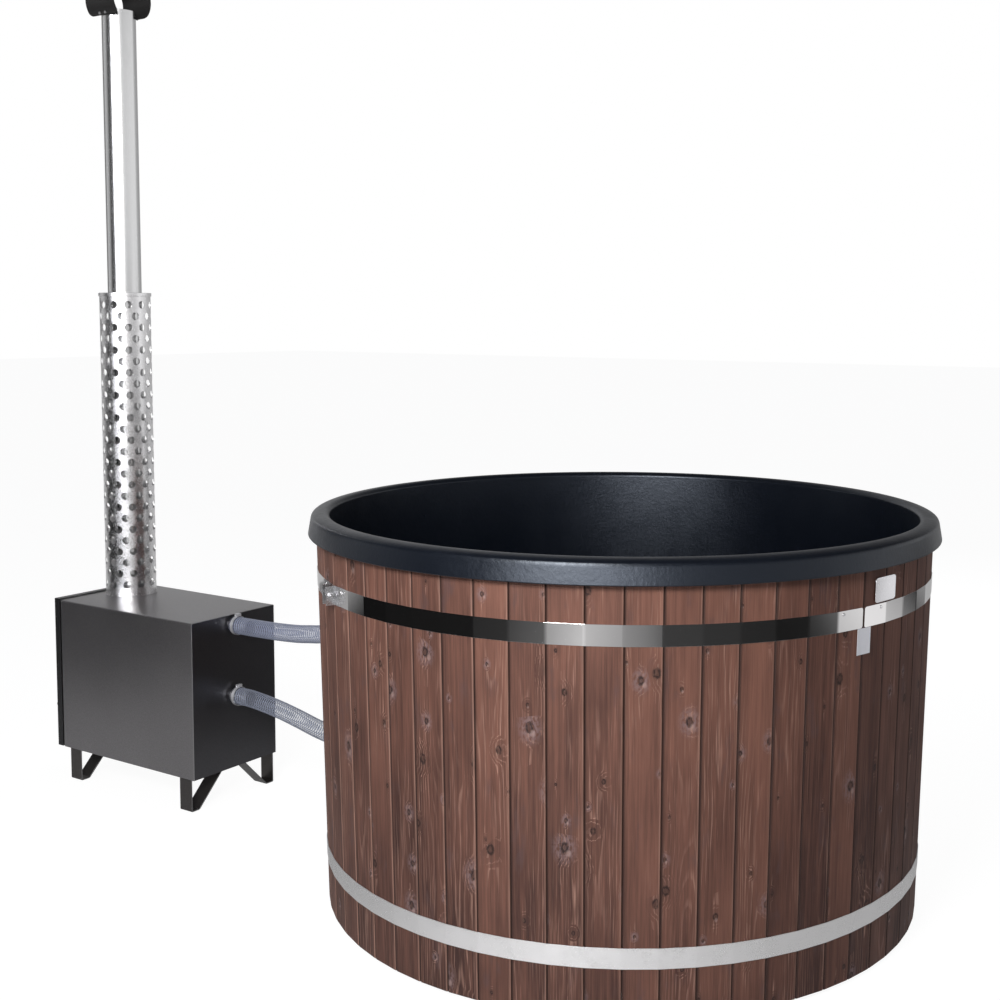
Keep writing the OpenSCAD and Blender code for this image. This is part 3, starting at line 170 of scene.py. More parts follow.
class Graph:
    """A node tree under construction."""

    def __init__(self, tree: bpy.types.NodeTree) -> None:
        """Empties the tree.

        Args:
            tree: the tree of a material or a world.
        """
        self.tree = tree
        tree.nodes.clear()

    def node(
        self,
        kind: str,
        settings: dict[str, object] | None = None,
        sockets: dict[str | int, object] | None = None,
    ) -> bpy.types.Node:
        """Adds a node.

        Args:
            kind: the node's type.
            settings: properties, set first; "stops" fills a ColorRamp.
            sockets: values or links by a socket's place, identifier or name.

        Returns:
            The node.
        """
        made = self.tree.nodes.new(kind)
        for key, value in (settings or {}).items():
            if key == "stops":
                self._fill(made.color_ramp, value)
            else:
                setattr(made, key, value)
        for key, value in (sockets or {}).items():
            socket = made.inputs[key] if isinstance(key, int) else self._find(made, key)
            if isinstance(value, Val):
                self.tree.links.new(value.socket, socket)
            elif isinstance(value, bpy.types.NodeSocket):
                self.tree.links.new(value, socket)
            else:
                socket.default_value = value
        return made

    @staticmethod
    def _find(made: bpy.types.Node, key: str) -> bpy.types.NodeSocket:
        """The input socket with that identifier or name."""
        for socket in made.inputs:
            if socket.identifier == key:
                return socket
        return made.inputs[key]

    @staticmethod
    def _fill(ramp: bpy.types.ColorRamp, stops: Sequence[tuple[float, Colour]]) -> None:
        """Gives a colour ramp its stops, in order."""
        while len(ramp.elements) > 1:
            ramp.elements.remove(ramp.elements[-1])
        for i, (place, colour) in enumerate(stops):
            stop = ramp.elements[0] if i == 0 else ramp.elements.new(place)
            stop.position = place
            stop.color = (*colour, 1.0)

    def value(self, made: bpy.types.Node, output: str | int = 0) -> Val:
        """Wraps an output socket."""
        return Val(self, made.outputs[output])

    def place(self) -> Val:
        """Object coordinates."""
        return self.value(self.node("ShaderNodeTexCoord"), "Object")

    def attribute(self, name: str, output: str = "Fac") -> Val:
        """A named attribute of the mesh."""
        return self.value(self.node("ShaderNodeAttribute", {"attribute_name": name}), output)

    def parts(self, vector: Val) -> tuple[Val, Val, Val]:
        """The three numbers of a vector."""
        made = self.node("ShaderNodeSeparateXYZ", None, {0: vector})
        return self.value(made, 0), self.value(made, 1), self.value(made, 2)

    def joined(self, x: Val | float, y: Val | float, z: Val | float) -> Val:
        """A vector of three numbers."""
        return self.value(self.node("ShaderNodeCombineXYZ", None, {0: x, 1: y, 2: z}))

    def scaled(self, vector: Val, scale: Sequence[float], shift: Sequence[float] = (0, 0, 0)) -> Val:
        """A vector stretched along its axes and moved."""
        return self.value(
            self.node("ShaderNodeMapping", None, {"Vector": vector, "Scale": scale, "Location": shift})
        )

    def noise(
        self, vector: Val, scale: float, detail: float = 2.0, rough: float = 0.5, bend: float = 0.0
    ) -> Val:
        """Fractal noise from 0 to 1."""
        sockets = {"Vector": vector, "Scale": scale, "Detail": detail, "Roughness": rough, "Distortion": bend}
        return self.value(self.node("ShaderNodeTexNoise", None, sockets))

    def cells(self, vector: Val, scale: float, output: str = "Distance", kind: str = "F1") -> Val:
        """Cell noise: the distance to the nearest random point, or the cell's own colour."""
        made = self.node("ShaderNodeTexVoronoi", {"feature": kind}, {"Vector": vector, "Scale": scale})
        return self.value(made, output)

    def ramp(self, amount: Val, stops: Sequence[tuple[float, Colour]]) -> Val:
        """A colour looked up by a number."""
        return self.value(self.node("ShaderNodeValToRGB", {"stops": stops}, {0: amount}), "Color")

    def blend(self, amount: Val | float, a: object, b: object, mode: str = "MIX") -> Val:
        """Mixes two colours, a at 0 and b at 1."""
        rgba = [(*c, 1.0) if isinstance(c, tuple) else c for c in (a, b)]
        made = self.node(
            "ShaderNodeMix",
            {"data_type": "RGBA", "blend_type": mode, "clamp_factor": True},
            {"Factor_Float": amount, "A_Color": rgba[0], "B_Color": rgba[1]},
        )
        return self.value(made, 2)

    def bump(self, height: Val, distance: float, strength: float = 1.0) -> Val:
        """A normal from a height; distance is the relief in metres."""
        sockets = {"Height": height, "Distance": distance, "Strength": strength}
        return self.value(self.node("ShaderNodeBump", None, sockets))


# ---------------------------------------------------------------- finishes


@dataclass(frozen=True)
class Finish:
    """One surface finish. Subclasses fill in what changes over the surface.

    Attributes:
        name: the material's name.
        colour: base colour, linear.
        rough: roughness.
        metal: metallic share.
        coat: coat weight.
        coat_rough: coat roughness.
        specular: specular level.
        tint: colour of the gloss.
    """

    name: str
    colour: Colour
    rough: float = 0.5
    metal: float = 0.0
    coat: float = 0.0
    coat_rough: float = 0.2
    specular: float = 0.5
    tint: Colour = (1.0, 1.0, 1.0)

    def build(self) -> bpy.types.Material:
        """Makes the material, once.

        Returns:
            The material with this finish's name.
        """
        known = bpy.data.materials.get(self.name)
        if known is not None and known.get("finish"):
            return known
        made = bpy.data.materials.new(self.name)
        made["finish"] = True
        made.use_nodes = True
        graph = Graph(made.node_tree)
        shell = {
            "Base Color": (*self.colour, 1.0),
            "Roughness": self.rough,
            "Metallic": self.metal,
            "Coat Weight": self.coat,
            "Coat Roughness": self.coat_rough,
            "Specular IOR Level": self.specular,
            "Specular Tint": (*self.tint, 1.0),
        }
        shell.update(self.surface(graph))
        skin = graph.node("ShaderNodeBsdfPrincipled", None, shell)
        graph.node("ShaderNodeOutputMaterial", None, {"Surface": skin.outputs[0]})
        made.diffuse_color = (*self.colour, 1.0)
        return made

    def surface(self, graph: Graph) -> dict[str, object]:
        """The sockets that vary over the surface, by name."""
        raise NotImplementedError


@dataclass(frozen=True)
class StaveWood(Finish):
    """Heat-treated softwood with worn grain, knots and a different tone on every stave.

    The mesh carries "grain": x across the stave, y its depth, z along it, each stave shifted at random,
    and "tone", a number per stave, "groove", 1 deep in the joints, where painted shade darkens them,
    "worn", 1 on one arris, which wear and a painted highlight make paler, and "pith", where the rings'
    own centre lies across the stave.
    """

    deep: Colour = (0.042, 0.0180, 0.0145)
    pale: Colour = (0.222, 0.101, 0.072)
    worn: Colour = (0.42, 0.245, 0.19)

    def surface(self, graph: Graph) -> dict[str, object]:
        """Rings are distances from a pith line that wanders; knots bend them and darken the wood.

        Pale lines lie where the grain is worn open: along some rings, above and below the knots and in
        streaks. Every stave is made darker towards its lower end: painted shade.
        """
        x, _, z = graph.parts(graph.attribute("grain", "Vector"))
        height = graph.parts(graph.place())[2]
        tone = graph.attribute("tone")
        groove = graph.attribute("groove")
        arris = graph.attribute("worn")
        pith = graph.attribute("pith")
        flat = graph.joined(x, 0.0, z)
        ragged = graph.noise(graph.scaled(flat, (170.0, 1.0, 90.0)), 1.0, 2.0)
        off, above, has, kind = self._knots(graph, x, z)
        near = (off * off + above * above).root() + (ragged - 0.5) * 1.5
        core = near.step(1.2, 0.8) * has
        ring = near.step(1.7, 1.15) * near.step(0.45, 0.9) * has
        halo = near.step(5.0, 1.0) * has
        tail = (off * off).step(3.4, 0.9) * (above * above).step(150.0, 16.0) * has
        wander = graph.noise(graph.scaled(flat, (7.0, 1.0, 1.3)), 1.0, 2.0)
        drift = graph.noise(graph.scaled(flat, (40.0, 1.0, 5.0)), 1.0, 3.0, 0.55)
        depth = 0.022 + wander * 0.055
        reach = ((x - pith) * (x - pith) + depth * depth).root()
        rings = reach * 210.0 + drift * 0.8 + halo * (near * 0.5 + 1.0)
        saw = rings - rings.floor()
        line = saw.step(0.0, 0.12) * saw.step(0.42, 0.16)
        open_grain = graph.noise(graph.scaled(flat, (11.0, 1.0, 2.0), (5.0, 0.0, 2.0)), 1.0, 2.0)
        thin = graph.noise(graph.scaled(flat, (430.0, 1.0, 9.0), (1.0, 0.0, 7.0)), 1.0, 2.0, 0.6)
        streak = graph.noise(graph.scaled(flat, (120.0, 1.0, 2.6)), 1.0, 4.0, 0.62)
        patch = graph.noise(graph.scaled(flat, (16.0, 1.0, 3.4), (9.0, 0.0, 4.0)), 1.0, 3.0, 0.55)
        smoke = graph.noise(graph.scaled(flat, (22.0, 1.0, 7.0), (2.0, 0.0, 8.0)), 1.0, 3.0, 0.6)
        shade = 0.46 + (tone - 0.5) * 0.55 + (patch - 0.5) * 1.0 + (streak - 0.5) * 1.15
        # Painted shade: the tone gets darker towards the staves' lower ends.
        shade = shade + (thin - 0.5) * 0.5 + (height - 0.5) * 0.36
        base = graph.blend(shade.clamped(), self.deep, self.pale)
        base = graph.blend(smoke.step(0.56, 0.72) * 0.50, base, (0.090, 0.055, 0.056))
        cloud = near.step(5.0, 1.6) * kind.step(0.60, 0.68) * ragged.step(0.34, 0.60) * has
        base = graph.blend(cloud * 0.55, base, (0.24, 0.175, 0.185))
        worn = line * (open_grain.step(0.45, 0.64) * 0.50 + tail * 0.45) * thin.step(0.36, 0.62)
        worn = worn + thin.step(0.58, 0.72) * (open_grain.step(0.38, 0.66) * 0.36 + tail * 0.55)
        base = graph.blend(worn.clamped(), base, self.worn)
        base = graph.blend(halo * 0.22 * kind.step(0.7, 0.5), base, (0.050, 0.024, 0.020))
        base = graph.blend(core * 0.66, base, (0.052, 0.025, 0.019))
        base = graph.blend(ring * ragged.step(0.36, 0.54) * 0.90, base, (0.015, 0.007, 0.006))
        aside, under = off - kind * 2.6 + 1.0, above + 1.2
        fleck = (aside * aside + under * under).root()
        fleck = fleck.step(1.1, 0.35) * has * kind.step(0.45, 0.55)
        base = graph.blend(fleck * 0.42, base, (0.44, 0.31, 0.28))
        # The pale right arris is partly wear and partly a painted highlight, on the side where the key light
        # falls.
        base = graph.blend(arris * (0.45 + thin.step(0.30, 0.60) * 0.45), base, self.worn)
        # Painted shade: the wood is darkened deep in the V joints.
        base = graph.blend(groove * 0.93, base, (0.020, 0.008, 0.006))
        relief = thin * 0.4 - line * 0.4 - ring * 0.9 + streak * 0.5
        return {
            "Base Color": base,
            "Roughness": 0.56 + thin * 0.14 - (patch - 0.5) * 0.12,
            "Normal": graph.bump(relief, 0.00045, 0.8),
        }

    @staticmethod
    def _knots(graph: Graph, x: Val, z: Val) -> tuple[Val, Val, Val, Val]:
        """The place beside and above the nearest knot, in knot sizes, whether it is there, and its kind.

        There is one cell of about 0.1 x 0.14 m for each knot, and one cell in five is empty.
        """
        spot = graph.joined(x, z * 0.72, 0.0)
        flat = {"voronoi_dimensions": "2D"}
        cell = graph.node("ShaderNodeTexVoronoi", flat, {"Vector": spot, "Scale": 10.5})
        has, grow, kind = graph.parts(graph.value(cell, "Color"))
        mid_x, mid_z, _ = graph.parts(graph.value(cell, "Position"))
        size = 0.0022 + grow * grow * 0.0058
        return (x - mid_x) / size, (z * 0.72 - mid_z) / size, has.step(0.18, 0.22), kind


@dataclass(frozen=True)
class PlainTimber(Finish):
    """Sawn timber under the floor."""

    def surface(self, graph: Graph) -> dict[str, object]:
        """Streaks run along X, on boards and bearers alike."""
        streak = graph.noise(graph.scaled(graph.place(), (3.0, 40.0, 60.0)), 1.0, 4.0, 0.6, 0.4)
        low = tuple(c * 0.6 for c in self.colour)
        return {
            "Base Color": graph.blend(streak.step(0.3, 0.7), low, self.colour),
            "Roughness": 0.7 + streak * 0.15,
            "Normal": graph.bump(streak, 0.0006),
        }


@dataclass(frozen=True)
class MouldedPlastic(Finish):
    """Moulded plastic with an orange-peel skin."""

    peel: float = 150.0
    relief: float = 0.00022

    def surface(self, graph: Graph) -> dict[str, object]:
        """Two sizes of soft noise make the peel; a little paler where it is high."""
        place = graph.place()
        peel = graph.noise(place, self.peel, 3.0, 0.6)
        wave = graph.noise(place, self.peel / 9, 2.0)
        fleck = graph.noise(place, self.peel * 3.1, 2.0, 0.7).step(0.60, 0.74)
        pale = tuple(min(1.0, c * 2.2 + 0.002) for c in self.colour)
        return {
            "Base Color": graph.blend(fleck * 0.35 + (peel - 0.5) * 0.5, self.colour, pale),
            "Roughness": self.rough + (wave - 0.5) * 0.12 + (peel - 0.5) * 0.14,
            "Normal": graph.bump(peel + wave * 1.6, self.relief),
        }


@dataclass(frozen=True)
class SheetSteel(Finish):
    """Stainless steel. brush is how far its lines are drawn out along Z, or 0 for a polished sheet."""

    brush: float = 0.0
    wave: float = 0.0

    def surface(self, graph: Graph) -> dict[str, object]:
        """Fine lines change the roughness, a long wave bends the mirror image."""
        place = graph.place()
        line = graph.noise(graph.scaled(place, (900.0, 900.0, 900.0 / (1.0 + self.brush))), 1.0, 2.0)
        haze = graph.noise(place, 14.0, 3.0, 0.6)
        slow = graph.noise(place, 6.0, 1.0)
        return {
            "Base Color": graph.blend(haze, tuple(c * 0.93 for c in self.colour), self.colour),
            "Roughness": (self.rough * ((line - 0.5) * 0.7 + (haze - 0.5) * 0.5 + 1.0)).clamped(),
            "Normal": graph.bump(line * 0.05 + slow * self.wave, 0.0004, 0.5),
        }


@dataclass(frozen=True)
class CoatedSheet(Finish):
    """Steel sheet with a fine metallic coating, paler along cut edges ("edge" on the mesh): wear and a
    painted highlight.
    """

    edge: Colour = (0.42, 0.42, 0.43)

    def surface(self, graph: Graph) -> dict[str, object]:
        """A grainy coat: tiny flakes in the colour and a fine bump."""
        place = graph.place()
        flake = graph.cells(place, 900.0, "Color")
        spark = graph.parts(flake)[0]
        grain = graph.noise(place, 420.0, 3.0, 0.7)
        haze = graph.noise(place, 5.0, 3.0)
        # Painted highlight with wear: the cut edges are made paler.
        worn = graph.attribute("edge")
        low, high = tuple(c * 0.72 for c in self.colour), tuple(c * 1.3 for c in self.colour)
        base = graph.blend(spark * 0.5 + haze * 0.3, low, high)
        base = graph.blend(worn * (0.55 + grain * 0.6), base, self.edge)
        return {
            "Base Color": base,
            "Roughness": (self.rough + (grain - 0.5) * 0.10 + (haze - 0.5) * 0.06).clamped(),
            "Normal": graph.bump(grain, 0.00006, 0.6),
        }


@dataclass(frozen=True)
class HoseWall(Finish):
    """Clear hose: see-through and a little milky."""

    alpha: float = 0.4

    def surface(self, graph: Graph) -> dict[str, object]:
        """Haze changes the colour and how much shows through."""
        place = graph.place()
        haze = graph.noise(place, 22.0, 3.0)
        return {
            "Base Color": graph.blend(haze, tuple(c * 0.85 for c in self.colour), self.colour),
            "Alpha": (self.alpha + (haze - 0.5) * 0.14).clamped(),
            "Normal": graph.bump(graph.noise(place, 70.0, 2.0), 0.0004, 0.5),
        }


@dataclass(frozen=True)
class CastIron(Finish):
    """Sand-cast iron."""

    def surface(self, graph: Graph) -> dict[str, object]:
        """Sandy bumps, and rust where they are low."""
        grit = graph.noise(graph.place(), 260.0, 4.0, 0.7)
        rust = graph.noise(graph.place(), 18.0, 3.0).step(0.5, 0.7)
        return {
            "Base Color": graph.blend(rust * 0.4, self.colour, (0.16, 0.06, 0.03)),
            "Roughness": 0.6 + grit * 0.25,
            "Normal": graph.bump(grit, 0.0005),
        }


@dataclass(frozen=True)
class BraidedRope(Finish):
    """Woven heat-proof rope."""

    def surface(self, graph: Graph) -> dict[str, object]:
        """Two crossing waves make the weave."""
        x, y, z = graph.parts(graph.place())
        weave = ((y + z) * 1500.0).sin() * ((y - z) * 1500.0).sin() + (x * 900.0).sin() * 0.3
        low = tuple(c * 0.55 for c in self.colour)
        return {
            "Base Color": graph.blend(weave.step(-0.6, 0.8), low, self.colour),
            "Roughness": 0.85 + weave * 0.05,
            "Normal": graph.bump(weave, 0.0008),
        }


class Surfaces(Enum):
    """Every finish of the tub and its heater."""

    STAVES = StaveWood("thermowood_staves", (0.22, 0.105, 0.075), 0.58, specular=0.3)
    TIMBER = PlainTimber("sawn_timber", (0.42, 0.28, 0.17), 0.75)
    LINER = MouldedPlastic(
        "navy_liner", (0.0030, 0.0045, 0.0085), 0.33, tint=(0.80, 0.88, 1.0), peel=95.0, relief=0.0005
    )
    FITTING = MouldedPlastic("black_fitting", (0.018, 0.018, 0.02), 0.4, peel=500.0, relief=0.00005)
    RUBBER = MouldedPlastic("flat_gasket", (0.022, 0.022, 0.022), 0.75, peel=700.0, relief=0.00004)
    MIRROR = SheetSteel("polished_band", (0.84, 0.825, 0.82), 0.05, 1.0, wave=0.12)
    SATIN = SheetSteel("satin_band", (0.80, 0.79, 0.79), 0.30, 1.0, wave=0.15)
    PIPE = SheetSteel("flue_steel", (0.80, 0.80, 0.80), 0.20, 1.0, brush=14.0, wave=0.10)
    GUARD = SheetSteel("guard_steel", (0.97, 0.962, 0.968), 0.27, 1.0, brush=3.0, wave=0.10)
    HARDWARE = SheetSteel("zinc_hardware", (0.62, 0.62, 0.63), 0.28, 1.0, wave=0.05)
    CLAMP = SheetSteel("clamp_steel", (0.80, 0.81, 0.84), 0.42, 0.55, wave=0.05)
    MILL = SheetSteel("mill_steel", (0.36, 0.36, 0.37), 0.42, 1.0, wave=0.3)
    PLATE = SheetSteel("bare_plate", (0.93, 0.92, 0.94), 0.30, 1.0, brush=2.0)
    CARD = MouldedPlastic("bare_card", (0.93, 0.94, 1.0), 0.45, peel=260.0, relief=0.00003)
    # One casing coat in two copies: painted light makes the sheet's copy paler, painted shade makes the end
    # panel's darker.
    LIT_SHEET = CoatedSheet("graphite_sheet_lit_copy", (0.300, 0.290, 0.298), 0.33, 0.92, 0.10, 0.25)
    SHADED_END = CoatedSheet("graphite_end_shaded_copy", (0.105, 0.104, 0.112), 0.33, 0.90, 0.10, 0.25)
    DOOR = CoatedSheet("door_sheet", (0.030, 0.030, 0.032), 0.36, 0.6, 0.1, 0.3)
    LEG = CoatedSheet("leg_strip", (0.105, 0.098, 0.095), 0.34, 0.85, 0.0, 0.3)
    CAP = CoatedSheet("cap_black", (0.024, 0.023, 0.023), 0.46, 0.0, 0.0, 0.3)
    BRASS = SheetSteel("cast_brass", (0.60, 0.45, 0.22), 0.28, 1.0, wave=0.1)
    LEVER = MouldedPlastic("dipped_lever", (0.40, 0.035, 0.02), 0.35, peel=300.0, relief=0.00003)
    IRON = CastIron("sand_cast_iron", (0.05, 0.05, 0.052), 0.7, 0.4)
    ROPE = BraidedRope("woven_rope", (0.62, 0.58, 0.50), 0.9)
    HOSE_BLUE = HoseWall("clear_hose_blue", (0.38, 0.42, 0.60), 0.14, specular=0.8, alpha=0.17)
    HOSE_GREY = HoseWall("clear_hose_grey", (0.30, 0.33, 0.40), 0.08, specular=1.0, alpha=0.12)
    HELIX = MouldedPlastic("hose_helix", (0.42, 0.46, 0.58), 0.15, peel=400.0, relief=0.00002)

    @property
    def material(self) -> bpy.types.Material:
        """The built material."""
        return self.value.build()


# ---------------------------------------------------------------- mesh making


@contextmanager
def edited(mesh: bpy.types.Mesh) -> Iterator[bmesh.types.BMesh]:
    """Opens a mesh for editing and writes it back at the end.

    Args:
        mesh: the mesh.

    Yields:
        The editable mesh.
    """
    work = bmesh.new()
    work.from_mesh(mesh)
    yield work
    work.to_mesh(mesh)
    work.free()


def linked(name: str, data: bpy.types.ID) -> bpy.types.Object:
    """A new object, in the scene."""
    made = bpy.data.objects.new(name, data)
    bpy.context.scene.collection.objects.link(made)
    return made


@dataclass
class Grid:
    """A surface on a grid: points[row, column] in metres, wrapped along a side or not.

    Attributes:
        points: an array of rows x columns x 3.
        wrap_rows: the last row joins the first.
        wrap_columns: the last column joins the first.
    """

    points: Array
    wrap_rows: bool = False
    wrap_columns: bool = False

    def faces(self, first: int = 0) -> Array:
        """Four corners of each face, by point number.

        Args:
            first: the number of the grid's first point.

        Returns:
            An array of faces x 4.
        """
        rows, columns = self.points.shape[:2]
        r = np.arange(rows if self.wrap_rows else rows - 1)
        c = np.arange(columns if self.wrap_columns else columns - 1)
        r, c = np.meshgrid(r, c, indexing="ij")
        r2, c2 = (r + 1) % rows, (c + 1) % columns
        ring = [r * columns + c, r * columns + c2, r2 * columns + c2, r2 * columns + c]
        return np.stack([k.ravel() for k in ring], axis=1) + first


class Piece:
    """A mesh under construction, out of grids, caps and their attributes."""

    def __init__(self, name: str) -> None:
        """Starts an empty piece.

        Args:
            name: the object's name.
        """
        self.name = name
        self.points: list[Array] = []
        self.quads: list[Array] = []
        self.caps: list[list[int]] = []
        self.marks: dict[str, list[Array]] = {}
        self.count = 0

    def add(self, grid: Grid, **marks: Array) -> "Piece":
        """Adds a grid.

        Args:
            grid: the surface.
            marks: per-point numbers or vectors, by attribute name, shaped as the grid is.

        Returns:
            This piece.
        """
        flat = grid.points.reshape(-1, 3)
        self.quads.append(grid.faces(self.count))
        self.points.append(flat)
        for key, value in marks.items():
            self.marks.setdefault(key, []).append(np.asarray(value, float).reshape(len(flat), -1))
        self.count += len(flat)
        return self

    def cap(self, corners: Sequence[int]) -> "Piece":
        """Adds one face with many corners, by point number."""
        self.caps.append([int(c) for c in corners])
        return self

    def finish(
        self, surface: Surfaces, replaces: Sequence[str], smooth: float, merge: float = 0.0
    ) -> bpy.types.Object:
        """Makes the object on the tub's body and gives it its finish.

        Args:
            surface: the finish.
            replaces: the CAD nodes that it stands for.
            smooth: edges below this angle, in degrees, look round.
            merge: points closer than this become one, in metres.

        Returns:
            The object.
        """
        mesh = bpy.data.meshes.new(self.name)
        faces = [list(q) for q in np.concatenate(self.quads).tolist()] + self.caps
        mesh.from_pydata(np.concatenate(self.points).tolist(), [], faces)
        for key, values in self.marks.items():
            data = np.concatenate(values)
            kind, slot = ("FLOAT", "value") if data.shape[1] == 1 else ("FLOAT_VECTOR", "vector")
            mesh.attributes.new(key, kind, "POINT").data.foreach_set(slot, data.ravel())
        if merge > 0:
            with edited(mesh) as work:
                bmesh.ops.remove_doubles(work, verts=work.verts, dist=merge)
        return settle(linked(self.name, mesh), surface, replaces, smooth)


def settle(
    made: bpy.types.Object, surface: Surfaces, replaces: Sequence[str], smooth: float, body: str = "tub"
) -> bpy.types.Object:
    """Dresses a new object and lets it ride.

    Args:
        made: the object, with its mesh in the row's frame.
        surface: the finish.
        replaces: the CAD nodes that it stands for.
        smooth: edges below this angle, in degrees, look round.
        body: the CAD body that it moves with.

    Returns:
        The object.
    """
    made.data.materials.clear()
    made.data.materials.append(surface.material)
    made.data.validate()
    made.data.polygons.foreach_set("use_smooth", [True] * len(made.data.polygons))
    with edited(made.data) as work:
        for edge in work.edges:
            edge.smooth = len(edge.link_faces) == 2 and edge.calc_face_angle(0.0) < math.radians(smooth)
    weigh = made.modifiers.new("normals", "WEIGHTED_NORMAL")
    weigh.keep_sharp = True
    weigh.weight = 80
    bake_modifiers(made)
    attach(made, body)
    if replaces:
        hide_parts(*replaces)
    LOG.info("%s: %d faces, on %s", made.name, len(made.data.polygons), body)
    return made


def softened(
    node: str, surface: Surfaces, width: float, segments: int = 2, body: str = "tub"
) -> bpy.types.Object:
    """Stands a copy of a CAD node with rounded edges in for it.

    Args:
        node: the CAD node.
        surface: the finish.
        width: the rounding, in metres.
        segments: steps in the rounding.
        body: the CAD body that it moves with.

    Returns:
        The piece.
    """
    mesh = FRAME["nodes"][node].data.copy()
    with edited(mesh) as work:
        bmesh.ops.remove_doubles(work, verts=work.verts, dist=SAME_POINT)
        bmesh.ops.dissolve_limit(work, angle_limit=math.radians(1.0), verts=work.verts, edges=work.edges)
    made = linked(f"{node}_dressed", mesh)
    bevel = made.modifiers.new("edges", "BEVEL")
    bevel.width = width
    bevel.segments = segments
    bevel.limit_method = "ANGLE"
    bevel.angle_limit = CREASE
    bevel.harden_normals = False
    bake_modifiers(made)
    return settle(made, surface, (node,), 32.0, body)


def bake_modifiers(made: bpy.types.Object) -> None:
    """Applies an object's modifiers to its mesh.

    Args:
        made: an object that is linked to the scene.
    """
    bpy.context.view_layer.update()
    graph = bpy.context.evaluated_depsgraph_get()
    seen = made.evaluated_get(graph)
    mesh = bpy.data.meshes.new_from_object(seen, preserve_all_data_layers=True, depsgraph=graph)
    made.modifiers.clear()
    made.data = mesh


def drilled(made: bpy.types.Object, drills: Sequence["Drill"]) -> None:
    """Cuts round holes through a piece.

    Args:
        made: the piece.
        drills: the holes.
    """
    for drill in drills:
        cutter = drill.solid()
        cut = made.modifiers.new("hole", "BOOLEAN")
        cut.operation = "DIFFERENCE"
        cut.solver = "EXACT"
        cut.object = cutter
        bake_modifiers(made)
        bpy.data.objects.remove(cutter, do_unlink=True)


@dataclass
class Drill:
    """A round hole.

    Attributes:
        start: where its axis starts.
        along: the axis's direction.
        length: how deep it goes.
        radius: its radius.
        sides: corners of its circle.
    """

    start: Array
    along: Array
    length: float
    radius: float
    sides: int = 48

    def solid(self) -> bpy.types.Object:
        """The solid that is taken away: rings of radius about the axis at both ends, and two caps."""
        turn = full_turn(self.sides)
        side, up = across(self.along)
        ring = np.outer(np.cos(turn), side) + np.outer(np.sin(turn), up)
        ends = np.asarray(self.start) + np.array([0, self.length])[:, None] * unit(self.along)
        points = ends[:, None, :] + self.radius * ring[None]
        mesh = bpy.data.meshes.new("drill")
        faces = Grid(points, wrap_columns=True).faces().tolist()
        n = self.sides
        faces += [list(range(n))[::-1], list(range(n, 2 * n))]
        mesh.from_pydata(points.reshape(-1, 3).tolist(), [], faces)
        face_out(mesh)
        return linked("drill", mesh)


def face_out(mesh: bpy.types.Mesh, centre: tuple[float | None, ...] | None = None) -> None:
    """Turns a mesh's faces outwards, all alike.

    Args:
        mesh: a closed shell, or an open sheet that is bent round an axis.
        centre: for a sheet, the axis's place, with None for the direction that it runs in.
    """
    with edited(mesh) as work:
        bmesh.ops.recalc_face_normals(work, faces=work.faces)
        if centre is not None:
            work.faces.ensure_lookup_table()
            face = work.faces[0]
            middle = face.calc_center_median()
            away = sum(face.normal[i] * (middle[i] - c) for i, c in enumerate(centre) if c is not None)
            if away < 0:
                bmesh.ops.reverse_faces(work, faces=work.faces)


def thickened(made: bpy.types.Object, thickness: float) -> bpy.types.Object:
    """Gives a sheet its thickness, inwards, and keeps its cut edges crisp.

    Args:
        made: the sheet.
        thickness: in metres.

    Returns:
        The same object.
    """
    thick = made.modifiers.new("sheet", "SOLIDIFY")
    thick.thickness = thickness
    thick.offset = -1.0
    bake_modifiers(made)
    with edited(made.data) as work:
        for edge in work.edges:
            edge.smooth = edge.calc_face_angle(0.0) < CREASE
    return made


def unit(vector: Sequence[float] | Array) -> Array:
    """A vector, or each row of an array, brought to length 1."""
    v = np.asarray(vector, float)
    return v / np.linalg.norm(v, axis=-1, keepdims=True)


def across(along: Sequence[float] | Array) -> tuple[Array, Array]:
    """Two directions square to a direction and to each other."""
    t = unit(along)
    side = unit(np.cross([0.0, 0.0, 1.0] if abs(t[2]) < 0.9 else [1.0, 0.0, 0.0], t))
    return side, np.cross(t, side)


def arc(
    centre: tuple[float, float], radius: float, start: float, end: float, steps: int
) -> list[tuple[float, float]]:
    """Points on a circle in a plane.

    Args:
        centre: the circle's centre.
        radius: its radius.
        start: the first point's angle, in degrees.
        end: the last point's angle, in degrees.
        steps: spaces between the points.

    Returns:
        The points, (x, y) each.
    """
    turns = np.radians(np.linspace(start, end, steps + 1))
    return [(centre[0] + radius * math.cos(t), centre[1] + radius * math.sin(t)) for t in turns]


def spun(profile: Array, steps: int, centre: tuple[float, float] = (0.0, 0.0)) -> Grid:
    """Turns a profile of (radius, height) points about an upright axis.

    Each point goes round a circle of its radius at its height.
    """
    turn = full_turn(steps)
    r, z = np.asarray(profile, float).T
    x = centre[0] + np.outer(r, np.cos(turn))
    y = centre[1] + np.outer(r, np.sin(turn))
    return Grid(np.stack([x, y, np.repeat(z[:, None], steps, 1)], axis=2), wrap_columns=True)


def tube_about(path: Array, radius: Array | float, sides: int, ups: Array | None = None) -> Grid:
    """Carries a circle along a path.

    Ring i has its centre at path[i] and lies square to the path there. The rings' own directions are
    carried on from one to the next, so that the tube doesn't twist.
    """
    tangent = unit(np.gradient(path, axis=0))
    side = np.zeros_like(path)
    side[0] = across(tangent[0])[0] if ups is None else ups
    for i in range(1, len(path)):
        side[i] = unit(side[i - 1] - tangent[i] * np.dot(side[i - 1], tangent[i]))
    up = np.cross(tangent, side)
    turn = full_turn(sides)
    reach = np.broadcast_to(np.asarray(radius, float), (len(path),))[:, None, None]
    ring = np.cos(turn)[None, :, None] * side[:, None] + np.sin(turn)[None, :, None] * up[:, None]
    return Grid(path[:, None] + reach * ring, wrap_columns=True)


